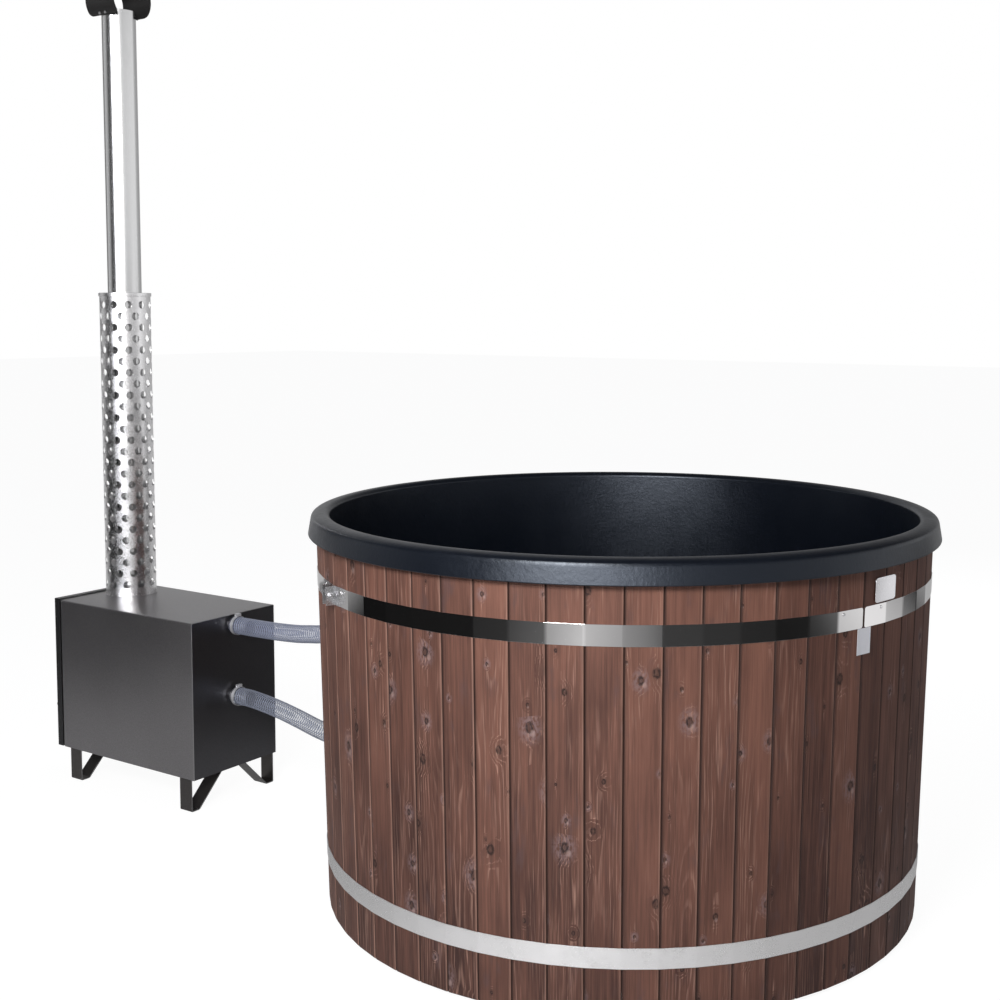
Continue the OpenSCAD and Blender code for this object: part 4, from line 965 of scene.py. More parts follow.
def smooth_path(route: Sequence[Sequence[float]], step: float) -> Array:
    """A smooth curve through route points.

    Between two points the curve is the cubic whose slopes at both are those of the chord between their
    neighbours (a Catmull-Rom curve). It is then cut into equal lengths of about one step.
    """
    p = np.asarray(route, float)
    ends = np.vstack([2 * p[0] - p[1], p, 2 * p[-1] - p[-2]])
    t = np.linspace(0, 1, 24, endpoint=False)[:, None]
    a, b, c, d = ends[:-3, None], ends[1:-2, None], ends[2:-1, None], ends[3:, None]
    curve = 0.5 * (2 * b + (c - a) * t + (2 * a - 5 * b + 4 * c - d) * t**2 + (3 * b - a - 3 * c + d) * t**3)
    curve = np.vstack([curve.reshape(-1, 3), p[-1:]])
    run = run_along(curve)
    return sampled(curve, run, np.linspace(0, run[-1], max(2, int(round(run[-1] / step)) + 1)))


def run_along(path: Array) -> Array:
    """The distance along a path, at each of its points."""
    return np.concatenate([[0], np.cumsum(np.linalg.norm(np.diff(path, axis=0), axis=1))])


def sampled(line: Array, run: Array, at: Array) -> Array:
    """A line's points, or its directions, at distances along it."""
    return np.stack([np.interp(at, run, line[:, k]) for k in range(line.shape[1])], axis=1)


def bent(start: Array, corner: Array, stop: Array, t: Array | float) -> Array:
    """Points of the quadratic curve from start to stop that has a corner as its control."""
    return (1 - t) ** 2 * start + 2 * t * (1 - t) * corner + t**2 * stop


def round_off(near: Array, radius: float) -> Array:
    """How far a corner's quarter circle lies inside, at a distance from the end, at most its radius."""
    return radius - np.sqrt(np.maximum(radius**2 - (radius - near) ** 2, 0))


def full_turn(steps: int) -> Array:
    """Angles all round, in radians."""
    return np.linspace(0, 2 * np.pi, steps, endpoint=False)


def length_of(path: Array) -> float:
    """The length of a path."""
    return float(np.linalg.norm(np.diff(path, axis=0), axis=1).sum())


# ---------------------------------------------------------------- the tub


@dataclass
class TubShape:
    """Sizes of the staved wall that several pieces share."""

    staves: int = 60
    joint_angle: float = 1.35
    low_z: float = 0.010
    top_z: float = 1.070
    low_r: float = 0.825
    top_r: float = 0.851
    thick: float = 0.028
    gap: float = 0.0003
    bevel: float = 0.003
    liner_fit: float = 0.0003
    liner_t: float = 0.008

    @property
    def step(self) -> float:
        """Angle of one stave, in degrees."""
        return 360 / self.staves

    @property
    def lean(self) -> float:
        """How fast the wall's radius grows with height."""
        return (self.top_r - self.low_r) / (self.top_z - self.low_z)

    def flat_r(self, z: Array | float) -> Array | float:
        """Distance of the staves' flat outer faces from the axis, at a height."""
        return self.low_r + self.lean * (z - self.low_z)

    def half_width(self, z: Array | float) -> Array | float:
        """Half a stave's width at its outer face, at a height."""
        return self.flat_r(z) * math.tan(math.radians(self.step / 2)) - self.gap / 2

    def joint(self, k: float) -> float:
        """Bearing of joint k, in degrees."""
        return self.joint_angle + k * self.step

    def on_wall(self, bearing: float, z: float, out: float = 0.0) -> tuple[Array, Array]:
        """A point on the wall's flat and the way out of it.

        Args:
            bearing: degrees about the axis.
            z: height.
            out: distance out of the wood.

        Returns:
            The point and the outward direction.
        """
        b = math.radians(bearing)
        slope = math.atan(self.lean)
        outward = np.array([math.cos(b) * math.cos(slope), math.sin(b) * math.cos(slope), -math.sin(slope)])
        r = float(self.flat_r(z))
        return np.array([r * math.cos(b), r * math.sin(b), z]) + out * outward, outward


@dataclass
class StaveWall:
    """Sixty tapered staves with V joints, in the six groups of the CAD model."""

    shape: TubShape
    seed: int = 11
    rows: int = 9
    foot_rise: float = 0.0012
    foot_pull: float = 0.0009
    uneven: float = 0.00035
    inlets: tuple[tuple[float, float], ...] = ((190.35, 0.622), (190.35, 0.298))
    inlet_stave: int = 31
    inlet_r: float = 0.0275
    drain_stave: int = 13
    drain_z: float = 0.030
    drain_r: float = 0.0165
    drill_from: float = -0.06
    drill_depth: float = 0.1
    # Painted shade: how dark each point of the right and left bevels is made, darkest deep in the joint.
    joint_shade_right: tuple[float, ...] = (1.0, 1.0, 0.85, 0.20, 0.0, 0.0, 0.0, 0.0, 0.0)
    joint_shade_left: tuple[float, ...] = (1.0, 1.0, 1.0, 0.96, 0.90, 0.80, 0.45, 0.06, 0.0)
    # How much paler the right arris is made: wear and a painted highlight.
    wear_and_highlight_right: tuple[float, ...] = (0.0, 0.0, 0.35, 0.95, 1.0, 0.7, 0.25, 0.0, 0.0)

    def profile(self) -> tuple[Array, Array]:
        """Half of a stave's section: distance from its edge, and depth below its outer face.

        The bevel is straight and runs out in a small round arris. joint_shade_right, joint_shade_left and
        wear_and_highlight_right follow its points: how much painted shade darkens each bevel, and how much
        paler the planed one is made, partly by wear and partly by a painted highlight.
        """
        s = self.shape
        arris = [(0.9, 2.05), (1.9, 1.05), (2.6, 0.42), (3.3, 0.12), (4.6, 0.0), (7.5, 0.0), (14, 0.0)]
        line = np.array([(0.0, s.thick), (0.0, s.bevel), *(np.array(arris) * MM)])
        return line[:, 0], line[:, 1]

    def build(self) -> list[bpy.types.Object]:
        """Makes one piece for each group of ten staves.

        Returns:
            The pieces.
        """
        s = self.shape
        dice = np.random.default_rng(self.seed)
        middle = np.linspace(0.1, s.top_z - 0.1, self.rows)
        z = np.concatenate([[s.low_z, s.low_z + self.foot_rise], middle, [s.top_z]])
        pull = np.zeros_like(z)
        pull[0] = self.foot_pull
        pieces = []
        for group in range(6):
            piece = Piece(f"stave_group_{group + 1}")
            for k in range(group * 10, group * 10 + 10):
                self._stave(piece, k, z, pull, dice)
            nodes = (f"staves_{group + 1}",) + (("hose_stave",) if self.inlet_stave // 10 == group else ())
            made = piece.finish(Surfaces.STAVES, nodes, 28.0)
            drilled(made, self._drills(group))
            pieces.append(made)
        return pieces

    def _drills(self, group: int) -> list[Drill]:
        """The holes through one group of staves."""
        s = self.shape
        holes = []
        if self.inlet_stave // 10 == group:
            for bearing, z in self.inlets:
                start, out = s.on_wall(bearing, z, self.drill_from)
                holes.append(Drill(start, out, self.drill_depth, self.inlet_r))
        if self.drain_stave // 10 == group:
            start, out = s.on_wall(s.joint(self.drain_stave + 0.5), self.drain_z, self.drill_from)
            holes.append(Drill(start, [out[0], out[1], 0.0], self.drill_depth, self.drain_r))
        return holes

    def _stave(self, piece: Piece, k: int, z: Array, pull: Array, dice: np.random.Generator) -> None:
        """Adds one stave: its section, wider with height, is turned to its bearing.

        The section's left half is the right half mirrored; the ends are closed by one face each.

        Args:
            piece: the group's piece.
            k: the joint on the stave's right.
            z: heights of the sections.
            pull: how far each section lies further in.
            dice: random numbers.
        """
        s = self.shape
        inset, depth = self.profile()
        outer = s.flat_r(z) - pull - dice.uniform(0.0, self.uneven)
        wide = s.half_width(z)
        inner_wide = (s.flat_r(z) - s.thick) * math.tan(math.radians(s.step / 2)) - s.gap / 2
        lat = wide[:, None] - inset[None, :]
        at_depth = (depth[None, :] / s.thick).clip(0, 1)
        lat = np.where(inset[None, :] == 0, wide[:, None] + (inner_wide - wide)[:, None] * at_depth, lat)
        rad = outer[:, None] - depth[None, :]
        side = np.concatenate([lat, np.zeros((len(z), 1)), -lat[:, ::-1]], axis=1)
        radial = np.concatenate([rad, outer[:, None], rad[:, ::-1]], axis=1)
        b = math.radians(s.joint(k + 0.5))
        x = radial * math.cos(b) - side * math.sin(b)
        y = radial * math.sin(b) + side * math.cos(b)
        points = np.stack([x, y, np.broadcast_to(z[:, None], x.shape)], axis=2)
        shift = dice.uniform(0, 40, 3)
        along = points[:, :, 2] + shift[2]
        grain = np.stack([side + shift[0], outer[:, None] - radial, along], axis=2)
        # Painted shade deep in the V joints.
        deep = np.broadcast_to(np.array([*self.joint_shade_right, 0.0, *self.joint_shade_left[::-1]]), x.shape)
        # The right arris is made paler: wear and a painted highlight.
        worn = np.broadcast_to(np.array([*self.wear_and_highlight_right, 0.0, *np.zeros_like(depth)]), x.shape)
        pith = shift[0] + dice.uniform(-0.035, 0.035)
        first = piece.count
        n = x.shape[1]
        piece.add(
            Grid(points[:, ::-1], wrap_columns=True),
            grain=grain[:, ::-1],
            tone=np.full(x.shape, dice.beta(2.2, 2.2)),
            groove=deep[:, ::-1],
            worn=worn[:, ::-1] * dice.uniform(0.55, 1.0),
            pith=np.full(x.shape, pith),
        )
        piece.cap([first + i for i in range(n)])
        last = first + (len(z) - 1) * n
        piece.cap([last + i for i in range(n)][::-1])


@dataclass
class MouldedLiner:
    """The dark liner: rim over the stave ends, wall, bench with an entry sector, foot well."""

    shape: TubShape
    seat_z: float = 1.0703
    rise: float = 0.014
    roll: float = 0.018
    drop: float = 0.046
    skirt_gap: float = 0.005
    skirt_flare: float = 0.008
    floor_z: float = 0.086
    under_z: float = 0.078
    bench_z: float = 0.500
    well_r: float = 0.470
    entry_bearing: float = 190.35
    entry_angle: float = 56.0
    entry_soft: float = 0.75
    columns: int = 240
    lip_r: float = 0.003
    well_fillet: float = 0.025
    bench_nose: float = 0.014
    seat_fillet: float = 0.022
    foot_fillet: float = 0.030
    join_rise: float = 0.03
    floor_inset: float = 0.03
    clear: float = 0.001

    def wall_in(self, z: Array | float) -> Array | float:
        """Radius of the wall's inner face, at a height."""
        s = self.shape
        return s.flat_r(z) - s.thick - s.liner_fit - s.liner_t

    def wall_out(self, z: float) -> float:
        """Radius of the wall's outer face, at a height."""
        return float(self.wall_in(z)) + self.shape.liner_t

    def rim_profile(self) -> list[tuple[float, float]]:
        """From the wall's inner face over the crown to the skirt's lower edge and back up inside.

        Two quarter ellipses make the crown, and the skirt's edge is rounded.
        """
        s = self.shape
        inner = float(self.wall_in(self.seat_z))
        crown = inner + self.roll
        ridge = math.hypot(s.top_r, float(s.half_width(s.top_z)) - s.bevel)
        skirt_in = ridge + self.skirt_gap
        skirt_out = skirt_in + s.liner_t
        low = self.seat_z - self.drop
        turn = np.radians(np.linspace(180, 90, 11))
        up = [(crown + self.roll * math.cos(t), self.seat_z + self.rise * math.sin(t)) for t in turn]
        turn = np.radians(np.linspace(84, 16, 12))
        wide = skirt_out - crown
        over = [(crown + wide * math.cos(t), self.seat_z + self.rise * math.sin(t)) for t in turn]
        side_top = (skirt_out + 0.0006, self.seat_z - 0.0005)
        side_low = (skirt_out + self.skirt_flare, low + self.lip_r)
        blend = [
            (side_top[0] + (side_low[0] - side_top[0]) * t, side_top[1] + (side_low[1] - side_top[1]) * t)
            for t in (0.0, 0.12, 0.35, 0.65, 1.0)
        ]
        lip = arc((skirt_out + self.skirt_flare - self.lip_r, low + self.lip_r), self.lip_r, -15, -90, 4)
        lip += [(skirt_in + self.skirt_flare + 0.002, low), (skirt_in + self.skirt_flare, low + 0.002)]
        return up + over + blend + lip + [(skirt_in + 0.001, self.seat_z - 0.002), (skirt_in, self.seat_z)]

    def _even(self, points: Sequence[tuple[float, float]], count: int) -> Array:
        """The same line with a set number of points at equal lengths."""
        p = np.asarray(points, float)
        run = run_along(p)
        return sampled(p, run, np.linspace(0, run[-1], count))

    def sections(self) -> tuple[Array, Array]:
        """The liner's whole section, (radius, height), with the bench and without it.

        Both have the same number of points, so that one can turn into the other along the rim.
        """
        wall_low = float(self.wall_in(self.bench_z))
        join_z = self.bench_z + self.join_rise
        join = (float(self.wall_in(join_z)), join_z)
        start = (self.well_r - self.floor_inset, self.floor_z)
        fillet, nose, seat, heel = self.well_fillet, self.bench_nose, self.seat_fillet, self.foot_fillet
        clear = self.clear
        bench = [start]
        bench += arc((self.well_r - fillet, self.floor_z + fillet), fillet, -90, 0, 6)
        bench += arc((self.well_r + nose, self.bench_z - nose), nose, 180, 90, 6)
        bench += arc((wall_low - seat, self.bench_z + seat), seat, -90, 0, 6)[:-1] + [join]
        entry_z = self.floor_z + clear
        foot = float(self.wall_in(entry_z)) - clear
        entry = [start] + arc((foot - heel, entry_z + heel), heel, -90, 0, 6)
        entry += [(float(self.wall_in(self.bench_z)) - clear, self.bench_z), join]
        s = self.shape
        back_join = (self.wall_out(join_z), join_z)
        back_start = (self.well_r - self.floor_inset, self.under_z)
        seat_low, well_out = self.bench_z - s.liner_t, self.well_r + s.liner_t
        back_bench = [back_join, (self.wall_out(seat_low), seat_low)]
        back_bench += [(well_out, seat_low), (well_out, self.under_z), back_start]
        back_entry = [back_join, (self.wall_out(seat_low) - clear, seat_low)]
        back_entry += [(self.wall_out(self.under_z) - clear, self.under_z + clear), back_start]
        centre = [(0.0, self.floor_z), (self.well_r * 0.5, self.floor_z)]
        under = [(self.well_r * 0.5, self.under_z), (0.0, self.under_z)]
        wall = self._even([join, (float(self.wall_in(self.seat_z)), self.seat_z)], 10)[1:-1].tolist()
        outside = self._even([(self.wall_out(self.seat_z), self.seat_z), back_join], 6)[:-1].tolist()
        rim = self.rim_profile()
        found = []
        for inner, back in ((bench, back_bench), (entry, back_entry)):
            above, below = self._even(inner, 46).tolist(), self._even(back, 30).tolist()
            found.append(np.array(centre + above + wall + rim + outside + below + under))
        return found[0], found[1]

    def build(self) -> bpy.types.Object:
        """Makes the liner.

        Each column of the grid is the section at one bearing: with the bench outside the entry sector,
        without it inside, and a smooth step between the two over about a degree.

        Returns:
            The piece.
        """
        half = self.entry_angle / 2
        offsets = np.linspace(-180, 180, self.columns, endpoint=False)
        edge = half + np.linspace(-0.9, 0.9, 9)
        offsets = np.unique(np.round(np.concatenate([offsets, edge, -edge]), 4))
        away = np.abs(offsets)
        t = ((half + self.entry_soft - away) / (2 * self.entry_soft)).clip(0, 1)
        t = (t * t * (3 - 2 * t))[:, None, None]
        with_bench, without = self.sections()
        section = with_bench[None] * (1 - t) + without[None] * t
        turn = np.radians(offsets + self.entry_bearing)[:, None]
        r, z = section[:, :, 0], section[:, :, 1]
        points = np.stack([r * np.cos(turn), r * np.sin(turn), z], axis=2)
        piece = Piece("moulded_liner").add(Grid(points, wrap_rows=True))
        made = piece.finish(Surfaces.LINER, ("liner_shell",), 50.0, merge=1e-6)
        face_out(made.data)
        return made


class BandEnd(Enum):
    """How a band's end is finished."""

    ROUNDED = 0.006
    SQUARE = 0.0015


@dataclass(frozen=True)
class BandLength:
    """One length of band.

    Attributes:
        name: the piece's name.
        node: the CAD node that it stands for.
        span: the joints where it starts and ends.
        gaps: the gaps at both, each shared with the neighbouring end.
        z: height of its middle.
        end: how its ends are finished.
        surface: its finish.
    """

    name: str
    node: str
    span: tuple[int, int]
    gaps: tuple[float, float]
    z: float
    end: BandEnd
    surface: Surfaces


@dataclass
class SteelBands:
    """Two steel bands that lie on the staves' flats and are bent at every joint.

    plate and card are the width, height, way round the tub and lift of the two flat pieces near the
    upper band's splice.
    """

    shape: TubShape
    width: float = 0.050
    thick: float = 0.0012
    fit: float = 0.0001
    upper_z: float = 0.909
    lower_z: float = 0.155
    upper_lug: int = -20
    splice: int = -3
    lower_lug: int = 10
    lug_gap: float = 0.022
    splice_gap: float = 0.007
    bend: float = 0.0045
    arris: float = 0.0002
    end_steps: tuple[float, ...] = (0.0, 0.3, 0.9, 1.8, 3.2, 5.0, 7.0)
    plate: tuple[float, float, float, float] = (0.089, 0.060, -0.0147, 0.0)
    card: tuple[float, float, float, float] = (0.049, 0.064, 0.0045, 0.0045)

    def _line(self, part: BandLength, half: float) -> tuple[Array, Array, Array]:
        """Stations along a band: number of the facet, distance along it, share of the next facet.

        Every facet has a few stations on its flat, and closer ones where it bends to the next.

        Args:
            part: the length of band.
            half: half a facet's width.

        Returns:
            Three arrays, one number per station.
        """
        (k0, k1), (gap0, gap1) = part.span, part.gaps
        near = np.array(self.end_steps) * MM
        facet, along, share = [], [], []
        for k in range(k0, k1):
            low = -half + (gap0 / 2 if k == k0 else self.bend)
            high = half - (gap1 / 2 if k == k1 - 1 else self.bend)
            inner = np.linspace(low, high, 5)
            if k == k0:
                inner = np.concatenate([low + near, inner[1:]])
            if k == k1 - 1:
                inner = np.concatenate([inner[:-1], high - near[::-1]])
            facet += [k] * len(inner)
            along += inner.tolist()
            share += [0.0] * len(inner)
            if k < k1 - 1:
                t = np.linspace(0, 1, 7)[1:-1]
                facet += [k] * len(t)
                along += (half - self.bend + 2 * self.bend * t).tolist()
                share += t.tolist()
        return np.array(facet, float), np.array(along), np.array(share)

    def band(self, part: BandLength) -> bpy.types.Object:
        """Makes one length of band.

        A rounded rectangle is carried along the facets. At a bend the direction turns from one facet's
        to the next one's, and the line is the curve that touches both. Near an end the band gets lower
        by a quarter circle, which rounds its corners.

        Args:
            part: the length of band.

        Returns:
            The piece.
        """
        s, z, end = self.shape, part.z, part.end.value
        half = float(s.flat_r(z)) * math.tan(math.radians(s.step / 2))
        facet, along, share = self._line(part, half)
        b0 = np.radians([s.joint(k + 0.5) for k in facet])
        step = math.radians(s.step)
        turn = b0 + share * step
        r = float(s.flat_r(z)) + self.fit
        out, side = self._ways(b0)
        straight = r * out + along[:, None] * side
        corner = self._corner(b0, step, r, half, share)
        flat = np.where(share[:, None] > 0, corner, straight)
        run = run_along(flat)
        high = self.width / 2 - round_off(np.minimum(run, run[-1] - run).clip(0, end), end)
        t, c = self.thick, self.arris
        lower = [(0, -1, 0), (t - c, -1, 0), (t - c * 0.3, -1, c * 0.3), (t, -1, c)]
        ring = lower + [(depth, -side, -shift) for depth, side, shift in lower[::-1]]
        lean = math.atan(s.lean)
        out = self._ways(turn)[0]
        points = np.zeros((len(facet), len(ring), 3))
        for i, (depth, side, shift) in enumerate(ring):
            up = side * high + shift
            radial = depth * math.cos(lean) + up * math.sin(lean)
            points[:, i, :2] = flat + radial[:, None] * out
            points[:, i, 2] = z + up * math.cos(lean) - depth * math.sin(lean)
        piece = Piece(part.name).add(Grid(points, wrap_columns=True))
        n = len(ring)
        piece.cap(list(range(n))[::-1])
        piece.cap([(len(facet) - 1) * n + i for i in range(n)])
        return piece.finish(part.surface, (part.node,), 20.0)

    @staticmethod
    def _ways(bearing: Array) -> tuple[Array, Array]:
        """The level directions out of the wall and round it, at bearings in radians."""
        c, s = np.cos(bearing), np.sin(bearing)
        return np.stack([c, s], 1), np.stack([-s, c], 1)

    def _corner(self, bearing: Array, step: float, r: float, half: float, share: Array) -> Array:
        """Points of the bend: a quadratic curve between two facets with the joint as its control."""
        out, side = self._ways(bearing)
        start = r * out + (half - self.bend) * side
        joint = r * out + half * side
        out, side = self._ways(bearing + step)
        stop = r * out - (half - self.bend) * side
        return bent(start, joint, stop, share[:, None])

    @staticmethod
    def refit(
        made: bpy.types.Object, wide: float, high: float, aside: float, lift: float
    ) -> bpy.types.Object:
        """Stretches a flat piece on the wall about its middle, and moves it round the tub and up.

        Args:
            made: the piece.
            wide: its new width.
            high: its new height.
            aside: how far it moves round the tub, in metres along the wall.
            lift: how far it moves up.

        Returns:
            The same piece.
        """
        points = np.empty(len(made.data.vertices) * 3)
        made.data.vertices.foreach_get("co", points)
        points = points.reshape(-1, 3)
        middle = (points.min(axis=0) + points.max(axis=0)) / 2
        bearing = math.atan2(middle[1], middle[0])
        side = np.array([-math.sin(bearing), math.cos(bearing), 0.0])
        span = (points - middle) @ side
        points = points + side * (span * (wide / np.ptp(span) - 1))[:, None]
        rise = points[:, 2] - middle[2]
        points[:, 2] = middle[2] + rise * high / np.ptp(rise) + lift
        turn = aside / math.hypot(middle[0], middle[1])
        c, d = math.cos(turn), math.sin(turn)
        points[:, :2] = points[:, :2] @ np.array([[c, d], [-d, c]])
        made.data.vertices.foreach_set("co", points.ravel())
        made.data.update()
        return made

    def build(self) -> list[bpy.types.Object]:
        """Makes the bands and their fittings.

        Returns:
            The pieces.
        """
        turn, lug, splice = self.shape.staves, self.lug_gap, self.splice_gap
        upper = (self.upper_z, BandEnd.ROUNDED, Surfaces.MIRROR)
        lower = (self.lower_z, BandEnd.SQUARE, Surfaces.SATIN)
        front, back = (self.upper_lug, self.splice), (self.splice, self.upper_lug + turn)
        low = (self.lower_lug, self.lower_lug + turn)
        return [
            self.band(BandLength("band_upper_front", "upper_band_front", front, (lug, splice), *upper)),
            self.band(BandLength("band_upper_back", "upper_band_back", back, (splice, lug), *upper)),
            self.band(BandLength("band_lower", "lower_band", low, (lug, lug), *lower)),
            softened("band_lugs", Surfaces.HARDWARE, 0.0007),
            softened("band_bolts", Surfaces.HARDWARE, 0.0005),
            softened("band_screws", Surfaces.HARDWARE, 0.0004),
            self.refit(softened("blank_plate", Surfaces.PLATE, 0.0004), *self.plate),
            self.refit(softened("blank_card", Surfaces.CARD, 0.0002), *self.card),
        ]


@dataclass
class TubUnderside:
    """Bearers, floor boards and the drain."""

    def build(self) -> list[bpy.types.Object]:
        """Dresses the floor and the drain.

        Returns:
            The pieces.
        """
        return [
            softened("base_bearers", Surfaces.TIMBER, 0.002),
            softened("floor_boards", Surfaces.TIMBER, 0.0015),
            softened("drain_board", Surfaces.TIMBER, 0.0015),
            softened("drain_flange", Surfaces.FITTING, 0.001),
            softened("drain_pipe", Surfaces.HARDWARE, 0.0004),
            softened("drain_valve_body", Surfaces.BRASS, 0.001),
            softened("drain_valve_ball", Surfaces.HARDWARE, 0.0005, body="drain_valve"),
            softened("drain_lever", Surfaces.LEVER, 0.001, body="drain_valve"),
        ]


@dataclass
class WallFittings:
    """Black plastic fittings through the staves, with nuts, gaskets and a strainer."""

    def build(self) -> list[bpy.types.Object]:
        """Dresses the fittings.

        Returns:
            The pieces.
        """
        return [
            softened("upper_wall_fitting", Surfaces.FITTING, 0.0015),
            softened("lower_wall_fitting", Surfaces.FITTING, 0.0015),
            softened("wall_nuts", Surfaces.FITTING, 0.0015),
            softened("wall_gaskets", Surfaces.RUBBER, 0.0002, 1),
            softened("suction_strainer", Surfaces.FITTING, 0.0008),
        ]


# ---------------------------------------------------------------- the hoses


@dataclass
class ClearHose:
    """One clear hose with a spiral in its wall, from a stub of the heater to a fitting of the tub."""

    name: str
    node: str
    route: Route
    surface: Surfaces
    inner_r: float = 0.0252
    outer_r: float = 0.0290
    pitch: float = 0.0092
    wire_r: float = 0.0014
    ridge: float = 0.0005
    wire_skin: float = 0.0004
    wire_inset: float = 0.012
    sides: int = 32

    def build(self) -> list[bpy.types.Object]:
        """Returns:
            The pieces.
        """
        path = smooth_path(np.array(self.route) * MM, 0.006)
        wall = self._wall(smooth_path(np.array(self.route) * MM, self.pitch / 6))
        coil = self._coil(path)
        return [wall, coil]

    def _wall(self, path: Array) -> bpy.types.Object:
        """A tube outside and a tube inside along the path, joined by flat rings at both ends.

        The outer radius rises and falls with the cosine of the helix's phase, run / pitch less the
        bearing, so that the wire shows as a low ridge.
        """
        outer = tube_about(path, self.outer_r, self.sides).points
        run = np.linspace(0, length_of(path), len(path))[:, None] / self.pitch
        swell = self.ridge * (np.cos(2 * np.pi * (run - np.arange(self.sides)[None] / self.sides)) - 1)
        outer = outer + unit(outer - path[:, None]) * swell[:, :, None]
        inner = tube_about(path, self.inner_r, self.sides).points
        shell = np.concatenate([outer, inner[::-1]], axis=0)
        piece = Piece(self.name).add(Grid(shell, wrap_rows=True, wrap_columns=True))
        made = piece.finish(self.surface, (self.node,), 60.0)
        face_out(made.data)
        return made

    def _coil(self, path: Array) -> bpy.types.Object:
        """A helix of thin wire in the middle of the hose's wall.

        Its turns are a pitch apart; the wire is a six-sided tube about the helix.
        """
        tangent = unit(np.gradient(path, axis=0))
        frame = tube_about(path, 1.0, 4)
        side = frame.points[:, 0] - path
        up = np.cross(tangent, side)
        run = run_along(path)
        start, stop = self.wire_inset, run[-1] - self.wire_inset
        turns = (stop - start) / self.pitch
        s = np.linspace(start, stop, int(turns * 16))
        angle = 2 * np.pi * (s - start) / self.pitch
        at, beside, over = (sampled(line, run, s) for line in (path, side, up))
        r = self.outer_r - self.wire_r - self.wire_skin
        line = at + r * (np.cos(angle)[:, None] * beside + np.sin(angle)[:, None] * over)
        piece = Piece(f"{self.name}_helix").add(tube_about(line, self.wire_r, 6))
        n = len(line)
        piece.cap(range(6)).cap([(n - 1) * 6 + i for i in range(6)][::-1])
        made = piece.finish(Surfaces.HELIX, (), 60.0)
        face_out(made.data)
        return made


@dataclass
class Hoses:
    """Both hoses and their clamps. A route's points are in millimetres: x, y, z."""

    upper_route: Route = (
        (-1410, -143, 589), (-1376, -143, 589), (-1342, -143, 589), (-1290, -145, 590),
        (-1265, -147, 591), (-1240, -149, 592), (-1190, -154, 595), (-1165, -157, 597),
        (-1140, -160, 599), (-1090, -166, 604), (-1040, -170, 611), (-1015, -172, 614),
        (-990, -173, 618), (-945, -171, 622), (-898, -164, 620), (-850, -155, 621),
    )
    lower_route: Route = (
        (-1410, -143, 350), (-1376, -143, 350), (-1342, -143, 350), (-1290, -145, 346),
        (-1265, -147, 344), (-1240, -149, 342), (-1190, -154, 337), (-1165, -157, 334),
        (-1140, -160, 331), (-1090, -166, 324), (-1040, -170, 315), (-1015, -172, 311),
        (-990, -173, 307), (-945, -171, 300), (-890, -163, 296), (-842, -154, 297),
    )

    def build(self) -> list[bpy.types.Object]:
        """Makes both hoses and dresses the clamps.

        Returns:
            The pieces.
        """
        upper = ClearHose("hose_upper", "upper_hose", self.upper_route, Surfaces.HOSE_BLUE)
        lower = ClearHose("hose_lower", "lower_hose", self.lower_route, Surfaces.HOSE_GREY)
        return [
            *upper.build(),
            *lower.build(),
            softened("hose_clamps", Surfaces.CLAMP, 0.0003),
            softened("clamp_screws", Surfaces.HARDWARE, 0.0003),
        ]


# ---------------------------------------------------------------- the heater


@dataclass
class HeaterShape:
    """Sizes of the heater that several pieces share; x runs from its hose end towards its door."""

    hose_end: float = -1.414
    middle: float = -0.143
    low_z: float = 0.107
    length: float = 0.658
    width: float = 0.366
    height: float = 0.518
    sheet: float = 0.002
    flue_x: float = 0.571
    flue_y: float = -0.049

    def at(self, points: Array) -> Array:
        """Moves points from the heater's own axes to the row's: both level axes turn round."""
        p = np.asarray(points, float)
        return np.stack([self.hose_end - p[..., 0], self.middle - p[..., 1], p[..., 2]], axis=-1)

    @property
    def flue(self) -> tuple[float, float]:
        """The flue's axis in the row's frame."""
        return self.hose_end - self.flue_x, self.middle - self.flue_y

    @property
    def top_z(self) -> float:
        """Height of the casing's top."""
        return self.low_z + self.height


def fold_along(
    piece: Piece,
    shape: HeaterShape,
    lines: tuple[Array, Array],
    along: Array,
    pull: float,
    worn: Sequence[float],
) -> None:
    """Adds a folded strip of sheet: what lies between two lines is carried along the heater.

    The first and last sections shrink towards the sheet's middle, which rounds the cut edges, and each
    of them is closed by a face per step.

    Args:
        piece: the piece.
        shape: the heater, for its axes.
        lines: the outer and the inner face as (side, height) points, as many in each.
        along: places of the sections.
        pull: how much the first and last sections shrink.
        worn: how much paler each section is made, by wear and a painted highlight.
    """
    outer, inner = lines
    loop = np.concatenate([outer, inner[::-1]])
    middle = (outer + inner) / 2
    middle = np.concatenate([middle, middle[::-1]])
    small = loop + unit(middle - loop) * pull
    sections = [small, *[loop] * (len(along) - 2), small]
    points = np.stack([np.insert(line, 0, x, axis=1) for x, line in zip(along, sections)])
    first, n = piece.count, len(loop)
    piece.add(Grid(shape.at(points), wrap_columns=True), edge=np.repeat(worn, n).reshape(len(along), n))
    for base in (first, first + (len(along) - 1) * n):
        for i in range(len(outer) - 1):
            piece.cap([base + i, base + i + 1, base + n - 2 - i, base + n - 1 - i])


